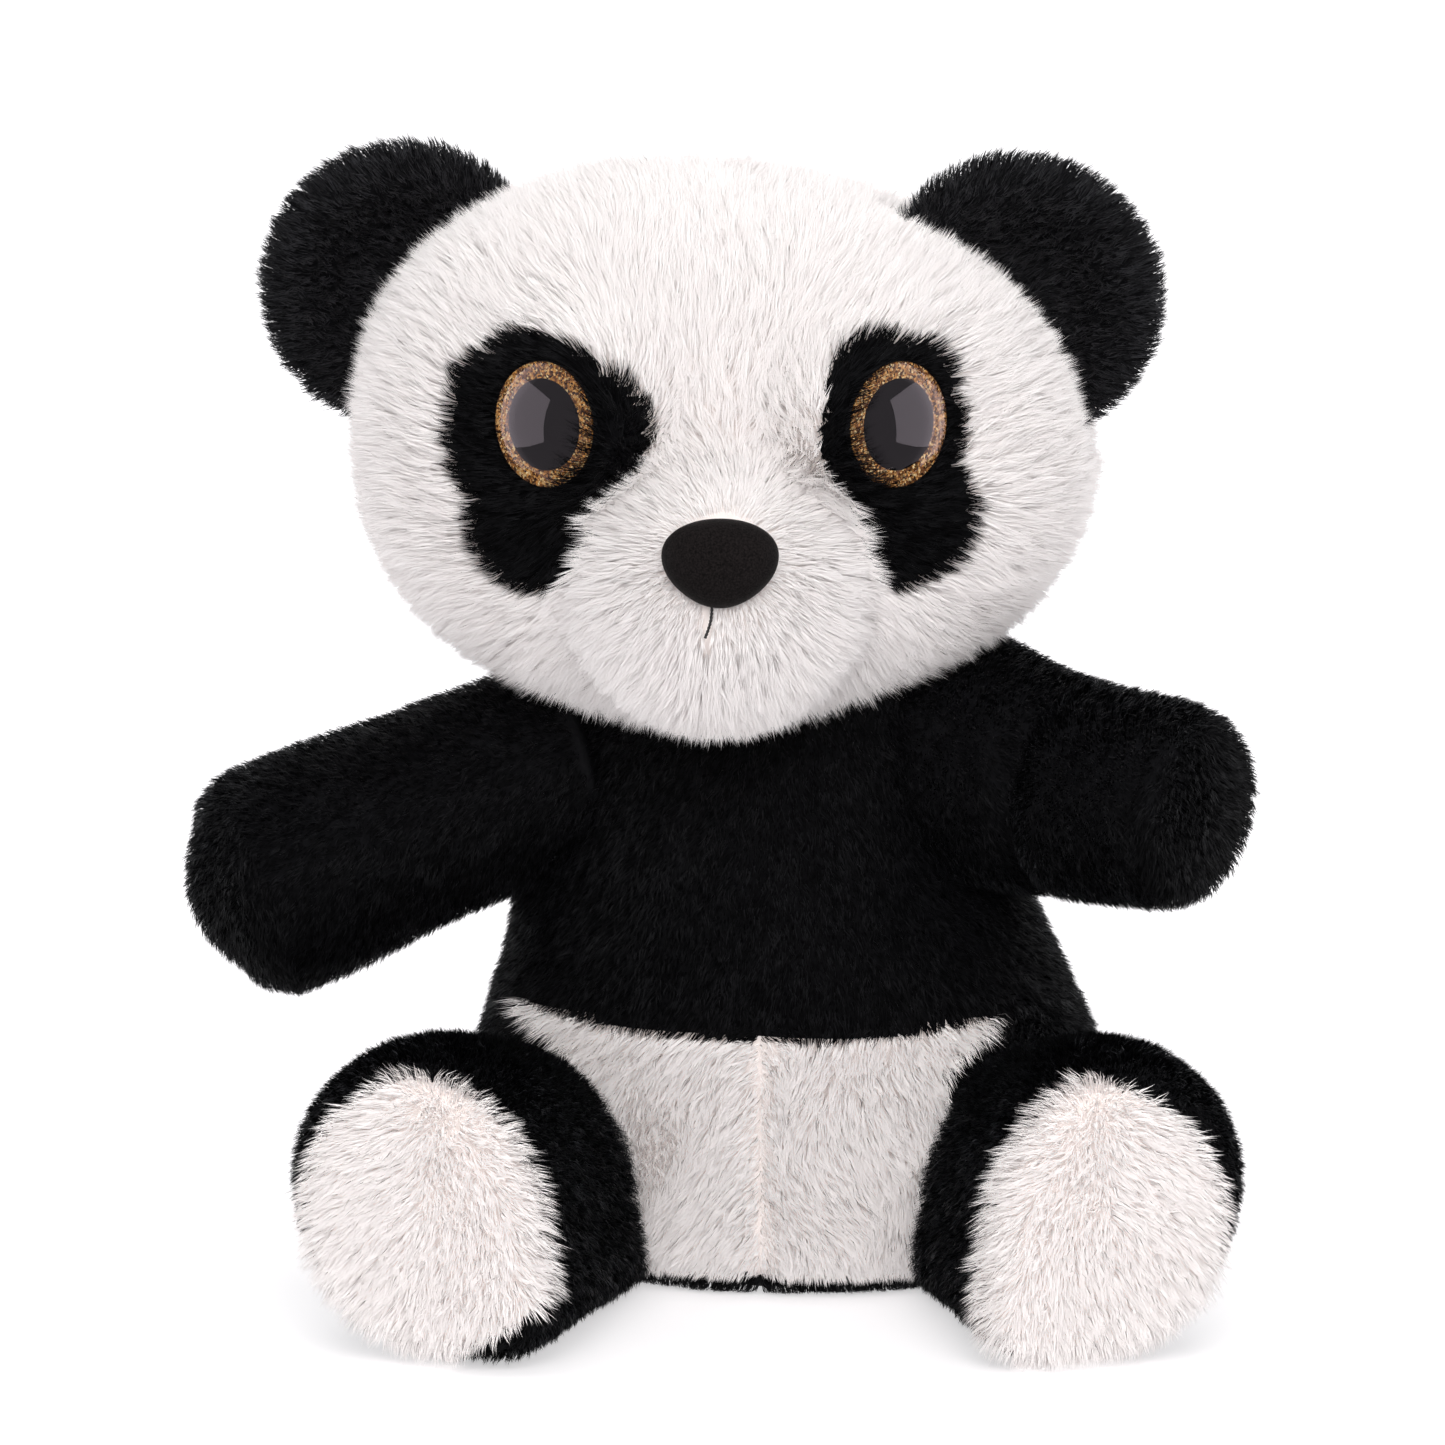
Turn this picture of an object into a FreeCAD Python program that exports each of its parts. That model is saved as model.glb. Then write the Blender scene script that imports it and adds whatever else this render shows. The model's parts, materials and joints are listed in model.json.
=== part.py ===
import FreeCAD, Part

import Sketcher

import os

# A seated plush panda, millimetres. +Z is up, the panda faces -Y, and its seat and feet rest on Z = 0.
# Each plush panel is a shell as thick as its pile and backing. The filling is the solid inside the shells.

SIZES = {
    # Pile and backing
    "white_pile": 6.0,
    "black_pile": 4.0,
    "gap": 1.0,
    "far": 300.0,
    # Head
    "head_x": 1.0,
    "head_y": 16.0,
    "head_z": 184.0,
    "head_along": 80.0,
    "head_across": 59.5,
    "head_tip_round": 46.0,
    "side_seam_y": 20.0,
    # Muzzle
    "muzzle_x": -1.0,
    "muzzle_y": -30.0,
    "muzzle_z": 157.0,
    "muzzle_size": 32.5,
    # Eye patches, each two overlapping rounds seen from the front
    "patch_deep": 120.0,
    "right_patch_x": -38.0,
    "right_patch_size": 21.0,
    "right_patch_high": 194.0,
    "right_patch_low": 182.5,
    "left_patch_x": 38.5,
    "left_patch_size": 18.0,
    "left_patch_high": 197.0,
    "left_patch_low": 180.0,
    # Eyes, turned parts along their own axis, from the fabric outwards
    "right_eye_x": -37.0,
    "left_eye_x": 36.5,
    "eye_y": -35.5,
    "eye_z": 193.0,
    "right_eye_yaw": -129.0,
    "left_eye_yaw": -50.0,
    "eye_wide": 13.2,
    "pupil_wide": 9.6,
    "lens_foot": 0.5,
    "lens_tip": 7.5,
    "iris_low": 0.1,
    "iris_high": 0.4,
    "backing_thick": 1.2,
    "post_wide": 2.5,
    "post_long": 14.0,
    "washer_wide": 9.0,
    "washer_hole": 2.6,
    "washer_low": 10.5,
    "washer_high": 9.0,
    "socket_wide": 13.5,
    "socket_deep": 1.3,
    # Nose
    "nose_x": -0.5,
    "nose_y": -61.0,
    "nose_z": 168.3,
    "nose_along": 6.5,
    "nose_across": 11.0,
    "nose_tip_round": 14.0,
    "nose_washer_wide": 8.0,
    "nose_washer_near": 14.0,
    "nose_washer_far": 12.5,
    # Mouth thread
    "mouth_x": -3.9,
    "mouth_y": -61.9,
    "mouth_z": 148.8,
    "mouth_long": 8.0,
    "mouth_lean": 11.7,
    "thread_wide": 0.5,
    # Ears, flat domes set into the side seam
    "right_ear_x": -66.5,
    "right_ear_z": 215.0,
    "left_ear_x": 61.5,
    "left_ear_z": 213.0,
    "ear_y": 17.0,
    "ear_along": 10.0,
    "ear_across": 31.5,
    "ear_tip_round": 100.0,
    "right_ear_yaw": 102.0,
    "left_ear_yaw": 78.0,
    # Torso, turned a little to the panda's right
    "torso_yaw": -8.0,
    "torso_split_y": 30.0,
    "chest_hem_z": 61.0,
    "belly_seam_x": 8.0,
    "seat_thick": 7.0,
    "bowl_size": 107.0,
    "bowl_z": 229.5,
    "neck_ring_wide": 20.0,
    "neck_thread_z": 125.4,
    "room_step": 0.3,
    "pellet_size": 18.0,
    "pellet_x": 12.0,
    "pellet_y": 38.0,
    "pellet_z": 26.0,
    # Arms, turned forms along their own axis from the shoulder
    "arm_long": 69.0,
    "arm_root": 17.0,
    "arm_swell": 28.0,
    "arm_thick": 23.5,
    "paw_thick": 22.0,
    "paw_round": 12.0,
    "paw_cap": 8.0,
    "right_shoulder_x": -42.0,
    "right_shoulder_y": 22.0,
    "right_shoulder_z": 109.0,
    "right_arm_yaw": -172.0,
    "right_arm_pitch": 19.0,
    "left_shoulder_x": 49.5,
    "left_shoulder_y": 18.0,
    "left_shoulder_z": 113.0,
    "left_arm_yaw": -38.0,
    "left_arm_pitch": 5.0,
    # Legs, turned forms along their own axis from the hip
    "leg_long": 90.0,
    "leg_root": 24.0,
    "leg_swell": 48.0,
    "leg_thick": 33.0,
    "foot_thick": 33.0,
    "foot_round": 16.0,
    "sole_cap": 9.0,
    "hip_y": 11.0,
    "hip_z": 33.0,
    "right_hip_x": -38.0,
    "right_leg_yaw": -106.0,
    "left_hip_x": 61.5,
    "left_leg_yaw": -77.5,
}

# Torso cross sections from the seat to the neck: height, centre x, centre y, half width, half depth
TORSO = [
    (0.0, 14.0, 34.0, 40.0, 30.0),
    (8.0, 15.0, 33.0, 54.0, 40.0),
    (28.0, 17.0, 32.0, 63.0, 46.0),
    (48.0, 17.5, 31.0, 65.0, 47.0),
    (72.0, 13.0, 29.0, 58.0, 45.0),
    (98.0, 8.0, 27.0, 52.5, 40.0),
    (118.0, 9.0, 25.0, 49.0, 35.0),
    (131.0, 9.0, 23.0, 41.0, 28.0),
]

# How far each joint carries its limb, in degrees from rest
ARM_SWING = (-25.0, -12.5, 0.0, 12.5, 25.0)
LEG_LIFT = (0.0, -8.0, -16.0)

doc = FreeCAD.newDocument("plush_panda")
sheet = doc.addObject("Spreadsheet::Sheet", "sizes")
nodes = []


def fill_sheet():
    """Write every driving dimension into the spreadsheet under its own alias."""
    for row, (alias, value) in enumerate(SIZES.items(), start=1):
        sheet.set(f"A{row}", alias)
        sheet.set(f"B{row}", str(value))
        sheet.setAlias(f"B{row}", alias)
    doc.recompute()


def derive_oval(part):
    """Work out an oval's side arc, and the direction of its join with the tip arc, from its driving sizes."""
    along, across, tip = (SIZES[f"{part}_{key}"] for key in ("along", "across", "tip_round"))
    side = ((along - tip) ** 2 + across ** 2 - tip ** 2) / (2 * (across - tip))
    SIZES[f"{part}_side_round"] = side
    SIZES[f"{part}_join_x"] = (along - tip) / (side - tip)
    SIZES[f"{part}_join_r"] = (side - across) / (side - tip)


def number(text):
    """The value of a sum of terms such as 'arm_long - black_pile' or 'arm_root*0.5 + 2'."""
    total = 0.0
    sign = 1.0
    for word in text.split():
        if word in "+-":
            sign = 1.0 if word == "+" else -1.0
            continue
        term = sign
        for factor in word.split("*"):
            term *= SIZES[factor] if factor in SIZES else float(factor)
        total += term
    return total


def formula(text):
    """The same sum as an expression on the spreadsheet."""
    words = []
    for word in text.split():
        factors = [f"sizes.{factor}" if factor in SIZES else factor for factor in word.split("*")]
        words.append(" * ".join(factors))
    joined = " ".join(words)
    return f"0 {joined}" if joined.startswith("-") else joined


def bind(thing, sizes):
    """Bind each named property to a sum of dimensions."""
    for key, text in sizes.items():
        thing.setExpression(key, formula(text))


def place(thing, x="0", y="0", z="0", yaw="0", pitch="0"):
    """Bind the object's position, and its turn about Z and then about Y, to the sheet."""
    bind(thing, {"Placement.Base.x": x, "Placement.Base.y": y, "Placement.Base.z": z})
    bind(thing, {"Placement.Rotation.Yaw": yaw, "Placement.Rotation.Pitch": pitch})


def primitive(kind, name, sizes, where):
    """A Part primitive with its sizes and its place bound to the sheet."""
    thing = doc.addObject(f"Part::{kind}", name)
    bind(thing, sizes)
    place(thing, **where)
    return thing


def half_space(name, axis, at, side, where):
    """A large cube whose face stands at a distance along one local axis and which fills the given side."""
    cube = primitive("Box", name, {"Length": "far*2", "Width": "far*2", "Height": "far*2"}, where)
    corner = [-SIZES["far"]] * 3
    corner["xyz".index(axis)] += number(at) + side * SIZES["far"]
    turn = FreeCAD.Rotation(number(where.get("yaw", "0")), number(where.get("pitch", "0")), 0)
    shift = turn.multVec(FreeCAD.Vector(*corner))
    for letter, value in zip("xyz", shift):
        step = f"+ {value:.6f}" if value >= 0 else f"- {-value:.6f}"
        bind(cube, {f"Placement.Base.{letter}": f"{where.get(letter, '0')} {step}"})
    return cube


def boolean(kind, name, base, tool):
    """Cut or Common of two objects."""
    thing = doc.addObject(f"Part::{kind}", name)
    thing.Base = base
    thing.Tool = tool
    return thing


def fused(name, shapes):
    """The union of several objects."""
    thing = doc.addObject("Part::MultiFuse", name)
    thing.Shapes = shapes
    return thing


def keep(thing, label):
    """Hand in an object as a node under its own name."""
    thing.Label = label
    nodes.append(thing)
    return thing


def split(shell, tool, inside, outside):
    """Divide a shell into the panel inside a region and the panel outside it."""
    keep(boolean("Common", f"{inside}_piece", shell, tool), inside)
    keep(boolean("Cut", f"{outside}_piece", shell, tool), outside)


def turned(name, corners, arcs, where):
    """A body of revolution about its own X axis.

    Corners are (x, radius) sums in order, and arcs gives an edge's arc centre and radius.
    """
    body = doc.addObject("PartDesign::Body", name)
    sketch = body.newObject("Sketcher::SketchObject", f"{name}_profile")
    plane = [item for item in body.Origin.OriginFeatures if item.Role == "XY_Plane"][0]
    sketch.AttachmentSupport = [(plane, "")]
    sketch.MapMode = "FlatFace"
    points = [FreeCAD.Vector(number(x), number(r), 0) for x, r in corners]
    ends = []
    for index, start in enumerate(points):
        end = points[(index + 1) % len(points)]
        if index in arcs:
            x, r, radius = arcs[index]
            centre = FreeCAD.Vector(number(x), number(r), 0)
            outward = ((start + end) * 0.5 - centre).normalize()
            sketch.addGeometry(Part.Arc(start, centre + outward * number(radius), end), False)
        else:
            sketch.addGeometry(Part.LineSegment(start, end), False)
        first = sketch.getPoint(index, 1)
        ends.append((1, 2) if (first - start).Length < 1e-6 else (2, 1))
    for index in range(len(points)):
        after = (index + 1) % len(points)
        sketch.addConstraint(Sketcher.Constraint("Coincident", index, ends[index][1], after, ends[after][0]))
    for index, (x, radius) in enumerate(corners):
        tie_point(sketch, index, ends[index][0], x, radius)
    for index, (x, r, radius) in arcs.items():
        row = sketch.addConstraint(Sketcher.Constraint("Radius", index, number(radius)))
        sketch.renameConstraint(row, f"round{index}")
        sketch.setExpression(f"Constraints.round{index}", formula(radius))
    turn = body.newObject("PartDesign::Revolution", f"{name}_turn")
    turn.Profile = sketch
    turn.ReferenceAxis = (sketch, ["H_Axis"])
    turn.Angle = 360.0
    place(body, **where)
    return body


def tie_point(sketch, edge, end, x, radius):
    """Hold one point of the profile at a bound distance from the axis and from the origin."""
    for kind, text, line in (("DistanceX", x, -2), ("DistanceY", radius, -1)):
        value = number(text)
        if abs(value) < 1e-9:
            sketch.addConstraint(Sketcher.Constraint("PointOnObject", edge, end, line))
            continue
        row = sketch.addConstraint(Sketcher.Constraint(kind, -1, 1, edge, end, value))
        sketch.renameConstraint(row, f"{kind}{edge}")
        sketch.setExpression(f"Constraints.{kind}{edge}", formula(text))


def oval(name, part, wall, where):
    """A rounded form of three tangent arcs turned about its own X axis, drawn in by the wall."""
    tip_x = f"{part}_along - {part}_tip_round"
    tip_round = f"{part}_tip_round - {wall}"
    join_x = f"{tip_x} + {part}_tip_round*{part}_join_x - {wall}*{part}_join_x"
    join_r = f"{part}_tip_round*{part}_join_r - {wall}*{part}_join_r"
    back_x = f"{part}_tip_round - {part}_along"
    back_join = f"{back_x} - {part}_tip_round*{part}_join_x + {wall}*{part}_join_x"
    corners = [
        (f"{wall} - {part}_along", "0"),
        (back_join, join_r),
        (join_x, join_r),
        (f"{part}_along - {wall}", "0"),
    ]
    arcs = {
        0: (back_x, "0", tip_round),
        1: ("0", f"{part}_across - {part}_side_round", f"{part}_side_round - {wall}"),
        2: (tip_x, "0", tip_round),
    }
    return turned(name, corners, arcs, where)


def ball(name, size, where):
    """A sphere from its radius."""
    return primitive("Sphere", name, {"Radius": size}, where)


def limb_form(name, part, wall, where):
    """An arm or leg: ball root, swelling tube and rounded blunt end, drawn in by the wall."""
    tip = f"{part}_long - {wall}"
    root = f"{part}_root - {wall}"
    end_thick = "paw_thick" if part == "arm" else "foot_thick"
    end_round = "paw_round" if part == "arm" else "foot_round"
    half = f"{part}_root*0.5 - {wall}*0.5"
    rise = f"{part}_root*0.8660254 - {wall}*0.8660254"
    corners = [
        (f"0 - {part}_root + {wall}", "0"),
        (half, rise),
        (f"{part}_swell", f"{part}_thick - {wall}"),
        (f"{part}_long - {end_round}", f"{end_thick} - {wall}"),
        (tip, f"{end_thick} - {end_round}"),
        (tip, "0"),
    ]
    arcs = {
        0: ("0", "0", root),
        3: (f"{part}_long - {end_round}", f"{end_thick} - {end_round}", f"{end_round} - {wall}"),
    }
    return turned(name, corners, arcs, where)


def limb(side, part, names, where):
    """The panels and the filling of one arm or leg."""
    outer = limb_form(f"{side}_{part}_form", part, "0", where)
    inner = limb_form(f"{side}_{part}_hollow", part, "black_pile", where)
    shell = boolean("Cut", f"{side}_{part}_shell", outer, inner)
    cap_depth = "paw_cap" if part == "arm" else "sole_cap"
    cap = half_space(f"{side}_{part}_cap_side", "x", f"{part}_long - {cap_depth}", 1, where)
    keep(boolean("Common", f"{side}_{part}_cap", shell, cap), names[2])
    tube = boolean("Cut", f"{side}_{part}_tube", shell, cap)
    split(tube, half_space(f"{side}_{part}_half", "y", "0", 1, where), names[0], names[1])
    keep(limb_form(f"{side}_{part}_core", part, "black_pile", where), names[3])


def sweep_room(side, part, angles, where):
    """The room a limb takes inside the torso: its own form, a little larger, at several joint angles."""
    rooms = []
    for index, angle in enumerate(angles):
        tilted = dict(where, pitch=f"{where['pitch']} + {angle}")
        growth = SIZES["gap"] + index * SIZES["room_step"]
        rooms.append(limb_form(f"{side}_{part}_room_{index}", part, f"-{growth}", tilted))
    return rooms


HEAD = {"x": "head_x", "y": "head_y", "z": "head_z"}
MUZZLE = {"x": "muzzle_x", "y": "muzzle_y", "z": "muzzle_z"}
RIGHT_SHOULDER = {
    "x": "right_shoulder_x",
    "y": "right_shoulder_y",
    "z": "right_shoulder_z",
    "yaw": "right_arm_yaw",
    "pitch": "right_arm_pitch",
}
LEFT_SHOULDER = {
    "x": "left_shoulder_x",
    "y": "left_shoulder_y",
    "z": "left_shoulder_z",
    "yaw": "left_arm_yaw",
    "pitch": "left_arm_pitch",
}
RIGHT_HIP = {"x": "right_hip_x", "y": "hip_y", "z": "hip_z", "yaw": "right_leg_yaw", "pitch": "0"}
LEFT_HIP = {"x": "left_hip_x", "y": "hip_y", "z": "hip_z", "yaw": "left_leg_yaw", "pitch": "0"}


def make_limbs():
    """Both arms and both legs."""
    limb("right", "arm", ["right_arm_front", "right_arm_back", "right_paw_cap", "right_arm_filling"],
         RIGHT_SHOULDER)
    limb("left", "arm", ["left_arm_back", "left_arm_front", "left_paw_cap", "left_arm_filling"],
         LEFT_SHOULDER)
    limb("right", "leg", ["right_leg_inner", "right_leg_outer", "right_sole", "right_leg_filling"],
         RIGHT_HIP)
    limb("left", "leg", ["left_leg_outer", "left_leg_inner", "left_sole", "left_leg_filling"],
         LEFT_HIP)


def torso_form(name, wall):
    """The pear-shaped torso, lofted through its cross sections and drawn in by the wall."""
    rings = []
    for index, (height, x, y, wide, deep) in enumerate(TORSO):
        lift = {0: wall, len(TORSO) - 1: -wall}.get(index, 0.0)
        ring = doc.addObject("Part::Ellipse", f"{name}_ring_{index}")
        ring.MajorRadius = wide - wall
        ring.MinorRadius = deep - wall
        ring.Placement.Base = FreeCAD.Vector(x, y, height + lift)
        ring.setExpression("Placement.Rotation.Yaw", "sizes.torso_yaw")
        rings.append(ring)
    loft = doc.addObject("Part::Loft", name)
    loft.Sections = rings
    loft.Solid = True
    return loft


def make_torso():
    """Torso panels, seat gusset, neck thread, filling and pellet bag."""
    rooms = [ball("head_room", "bowl_size", dict(HEAD, z="bowl_z"))]
    rooms += sweep_room("right", "arm", ARM_SWING, RIGHT_SHOULDER)
    rooms += sweep_room("left", "arm", ARM_SWING, LEFT_SHOULDER)
    rooms += sweep_room("right", "leg", LEG_LIFT, RIGHT_HIP)
    rooms += sweep_room("left", "leg", LEG_LIFT, LEFT_HIP)
    room = fused("torso_rooms", rooms)
    outer = torso_form("torso_outer", 0.0)
    inner = torso_form("torso_inner", SIZES["black_pile"])
    shell = boolean("Cut", "torso_shell", boolean("Cut", "torso_wall", outer, inner), room)
    seat = half_space("seat_side", "z", "seat_thick", -1, {})
    keep(boolean("Common", "seat_piece", shell, seat), "seat_gusset")
    upright = boolean("Cut", "torso_upright", shell, seat)
    turn = {"y": "torso_split_y", "yaw": "torso_yaw"}
    behind = half_space("torso_back_side", "y", "0", 1, turn)
    seam = {"x": "belly_seam_x", "y": "torso_split_y", "yaw": "torso_yaw"}
    back = boolean("Common", "torso_back", upright, behind)
    split(back, half_space("back_seam_side", "x", "0", 1, seam), "back_panel_left", "back_panel_right")
    front = boolean("Cut", "torso_front", upright, behind)
    above = half_space("chest_side", "z", "chest_hem_z", 1, {})
    keep(boolean("Common", "chest_piece", front, above), "chest_panel")
    belly = boolean("Cut", "belly_piece", front, above)
    split(belly, half_space("belly_seam_side", "x", "0", 1, seam), "belly_panel_left", "belly_panel_right")
    make_torso_filling(inner, room)


def make_torso_filling(inner, room):
    """The torso's fibre filling, the bag of pellets inside it and the thread that gathers the neck."""
    bag_at = {"x": "pellet_x", "y": "pellet_y", "z": "pellet_z"}
    ring_at = {"x": "head_x", "y": "head_y", "z": "neck_thread_z"}
    pocket = ball("pellet_pocket", "pellet_size", bag_at)
    core = boolean("Cut", "torso_core", inner, fused("torso_pockets", [room, pocket]))
    keep(core, "torso_filling")
    keep(ball("pellet_form", "pellet_size", bag_at), "pellet_bag")
    keep(primitive("Torus", "neck_thread_form", {"Radius1": "neck_ring_wide", "Radius2": "thread_wide"},
                   ring_at), "neck_thread")


def eye(side):
    """One safety eye in its own frame: lens, iris, pupil, backing with post and lock washer."""
    where = {"x": f"{side}_eye_x", "y": "eye_y", "z": "eye_z", "yaw": f"{side}_eye_yaw"}
    bulge = SIZES["lens_tip"] - SIZES["lens_foot"]
    ball = (SIZES["eye_wide"] ** 2 + bulge ** 2) / (2 * bulge)
    lens = [("lens_foot", "0"), ("lens_foot", "eye_wide"), ("lens_tip", "0")]
    dome = {1: (f"lens_tip - {ball}", "0", f"{ball}")}
    keep(turned(f"{side}_lens_form", lens, dome, where), f"{side}_eye_lens")
    disc = [("iris_low", "0"), ("iris_low", "pupil_wide"), ("iris_high", "pupil_wide"), ("iris_high", "0")]
    keep(turned(f"{side}_pupil_form", disc, {}, where), f"{side}_eye_pupil")
    ring = [("iris_low", "pupil_wide + 0.1"), ("iris_low", "eye_wide"),
            ("iris_high", "eye_wide"), ("iris_high", "pupil_wide + 0.1")]
    keep(turned(f"{side}_iris_form", ring, {}, where), f"{side}_eye_iris")
    back = [("0 - backing_thick - post_long", "0"), ("0 - backing_thick - post_long", "post_wide"),
            ("0 - backing_thick", "post_wide"), ("0 - backing_thick", "eye_wide"),
            ("0", "eye_wide"), ("0", "0")]
    keep(turned(f"{side}_backing_form", back, {}, where), f"{side}_eye_backing")
    washer = [("0 - washer_low", "washer_hole"), ("0 - washer_low", "washer_wide"),
              ("0 - washer_high", "washer_wide"), ("0 - washer_high", "washer_hole")]
    keep(turned(f"{side}_washer_form", washer, {}, where), f"{side}_eye_washer")
    socket = [("0 - washer_low - 8", "0"), ("0 - washer_low - 8", "washer_hole"),
              ("0 - washer_low", "washer_hole"), ("0 - washer_low", "washer_wide"),
              ("0 - washer_high", "washer_wide"), ("0 - washer_high", "washer_hole"),
              ("0 - socket_deep", "washer_hole"), ("0 - socket_deep", "socket_wide"),
              ("20", "socket_wide"), ("20", "0")]
    return turned(f"{side}_socket_form", socket, {}, where)


def nose():
    """The flocked nose with its post, its lock washer, and the room they take in the muzzle."""
    where = {"x": "nose_x", "y": "nose_y", "z": "nose_z"}
    along = dict(where, yaw="-90")
    bulb = oval("nose_bulb", "nose", "0", along)
    post = turned("nose_post", [("0 - post_long - 3", "0"), ("0 - post_long - 3", "post_wide"),
                                ("0", "post_wide"), ("0", "0")], {}, along)
    keep(fused("nose_form", [bulb, post]), "nose")
    washer = [("0 - nose_washer_near", "washer_hole"), ("0 - nose_washer_near", "nose_washer_wide"),
              ("0 - nose_washer_far", "nose_washer_wide"), ("0 - nose_washer_far", "washer_hole")]
    keep(turned("nose_washer_form", washer, {}, along), "nose_washer")
    room = [("0 - post_long - 3.2", "0"), ("0 - post_long - 3.2", "washer_hole"),
            ("0 - nose_washer_near", "washer_hole"), ("0 - nose_washer_near", "nose_washer_wide"),
            ("0 - nose_washer_far", "nose_washer_wide"), ("0 - nose_washer_far", "washer_hole"),
            ("0", "washer_hole"), ("0", "0")]
    hole = turned("nose_hole", room, {}, along)
    seat = oval("nose_seat", "nose", "-0.1", along)
    return fused("nose_room", [hole, seat])


def mouth():
    """The mouth thread, a short cord that hangs from the nose, and the groove it lies in."""
    where = {"x": "mouth_x", "y": "mouth_y", "z": "mouth_z", "pitch": "mouth_lean"}
    form = primitive("Cylinder", "mouth_form", {"Radius": "thread_wide", "Height": "mouth_long"}, where)
    keep(form, "mouth_thread")
    return primitive("Cylinder", "mouth_groove", {"Radius": "thread_wide + 0.1", "Height": "mouth_long"},
                     where)


def patch_round(side, level):
    """One of the two rounds that outline an eye patch, a cylinder that runs forwards from the head."""
    where = {"x": f"{side}_patch_x", "y": "0", "z": f"{side}_patch_{level}"}
    sizes = {"Radius": f"{side}_patch_size", "Height": "patch_deep"}
    round_tool = primitive("Cylinder", f"{side}_patch_{level}", sizes, where)
    bind(round_tool, {"Placement.Rotation.Roll": "90"})
    return round_tool


def make_head():
    """Head panels, muzzle, eye patches, eyes, nose, mouth and filling."""
    outer = oval("head_outer", "head", "0", HEAD)
    inner = oval("head_inner", "head", "white_pile", HEAD)
    muzzle_outer = ball("muzzle_outer", "muzzle_size", MUZZLE)
    muzzle_inner = ball("muzzle_inner", "muzzle_size - white_pile", MUZZLE)
    wall = boolean("Cut", "head_wall", outer, inner)
    eyes = [eye("right"), eye("left")]
    fittings = fused("face_fittings", eyes + [nose(), mouth()])
    ahead = half_space("face_side", "y", "0", -1, {"y": "side_seam_y"})
    face = boolean("Common", "face_front", wall, ahead)
    behind = boolean("Cut", "head_behind", wall, ahead)
    split(behind, half_space("back_seam", "x", "0", 1, {"x": "head_x"}), "head_back_left",
          "head_back_right")
    bare = boolean("Cut", "face_bare", boolean("Cut", "face_hole", face, muzzle_outer), fittings)
    patches = []
    for side in ("right", "left"):
        patch = fused(f"{side}_patch_tool", [patch_round(side, "high"), patch_round(side, "low")])
        keep(boolean("Common", f"{side}_patch_piece", bare, patch), f"{side}_eye_patch")
        patches.append(patch)
    keep(boolean("Cut", "face_piece", bare, fused("patch_tools", patches)), "face_panel")
    puff = boolean("Cut", "muzzle_wall", muzzle_outer, fused("muzzle_hollow", [muzzle_inner, inner]))
    keep(boolean("Cut", "muzzle_piece", puff, fittings), "muzzle_panel")
    core = fused("head_core", [inner, muzzle_inner])
    keep(boolean("Cut", "head_filling_piece", core, fittings), "head_filling")
    for side in ("right", "left"):
        ear(side, outer)


def ear(side, head):
    """One ear: a flat dome of two panels over thin wadding, set against the head."""
    where = {"x": f"{side}_ear_x", "y": "ear_y", "z": f"{side}_ear_z", "yaw": f"{side}_ear_yaw"}
    outer = oval(f"{side}_ear_outer", "ear", "0", where)
    inner = oval(f"{side}_ear_inner", "ear", "black_pile", where)
    wall = boolean("Cut", f"{side}_ear_wall", outer, fused(f"{side}_ear_hollow", [inner, head]))
    split(wall, half_space(f"{side}_ear_back_side", "x", "0", 1, where), f"{side}_ear_back",
          f"{side}_ear_front")
    keep(boolean("Cut", f"{side}_ear_core", inner, head), f"{side}_ear_wadding")


def check_document():
    """Stop if any object failed or if any node is empty or not a valid solid."""
    doc.recompute()
    for thing in doc.Objects:
        if "Invalid" in thing.State or "Error" in thing.State:
            raise RuntimeError(f"{thing.Name} failed: {thing.State}")
    for node in nodes:
        shape = node.Shape
        if shape.isNull() or not shape.isValid() or not shape.Solids:
            raise RuntimeError(f"{node.Label} is not a valid solid")


def write_nodes():
    """Write each node to its own file, named by its label."""
    os.makedirs("parts", exist_ok=True)
    for node in nodes:
        node.Shape.exportStep(f"parts/{node.Label}.step")


for form in ("head", "nose", "ear"):
    derive_oval(form)
fill_sheet()
make_head()
make_torso()
make_limbs()
check_document()
write_nodes()

whole = Part.makeCompound([node.Shape for node in nodes]).optimalBoundingBox()
print(f"{len(nodes)} nodes, box {whole.XMin:.1f} {whole.YMin:.1f} {whole.ZMin:.1f}"
      f" to {whole.XMax:.1f} {whole.YMax:.1f} {whole.ZMax:.1f}")
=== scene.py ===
"""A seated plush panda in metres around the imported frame: stuffed skins, pile, eyes, nose and mouth."""

import json
import math
from collections import namedtuple

import bmesh
import bpy
import numpy as np
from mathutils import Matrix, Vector, kdtree


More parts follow.
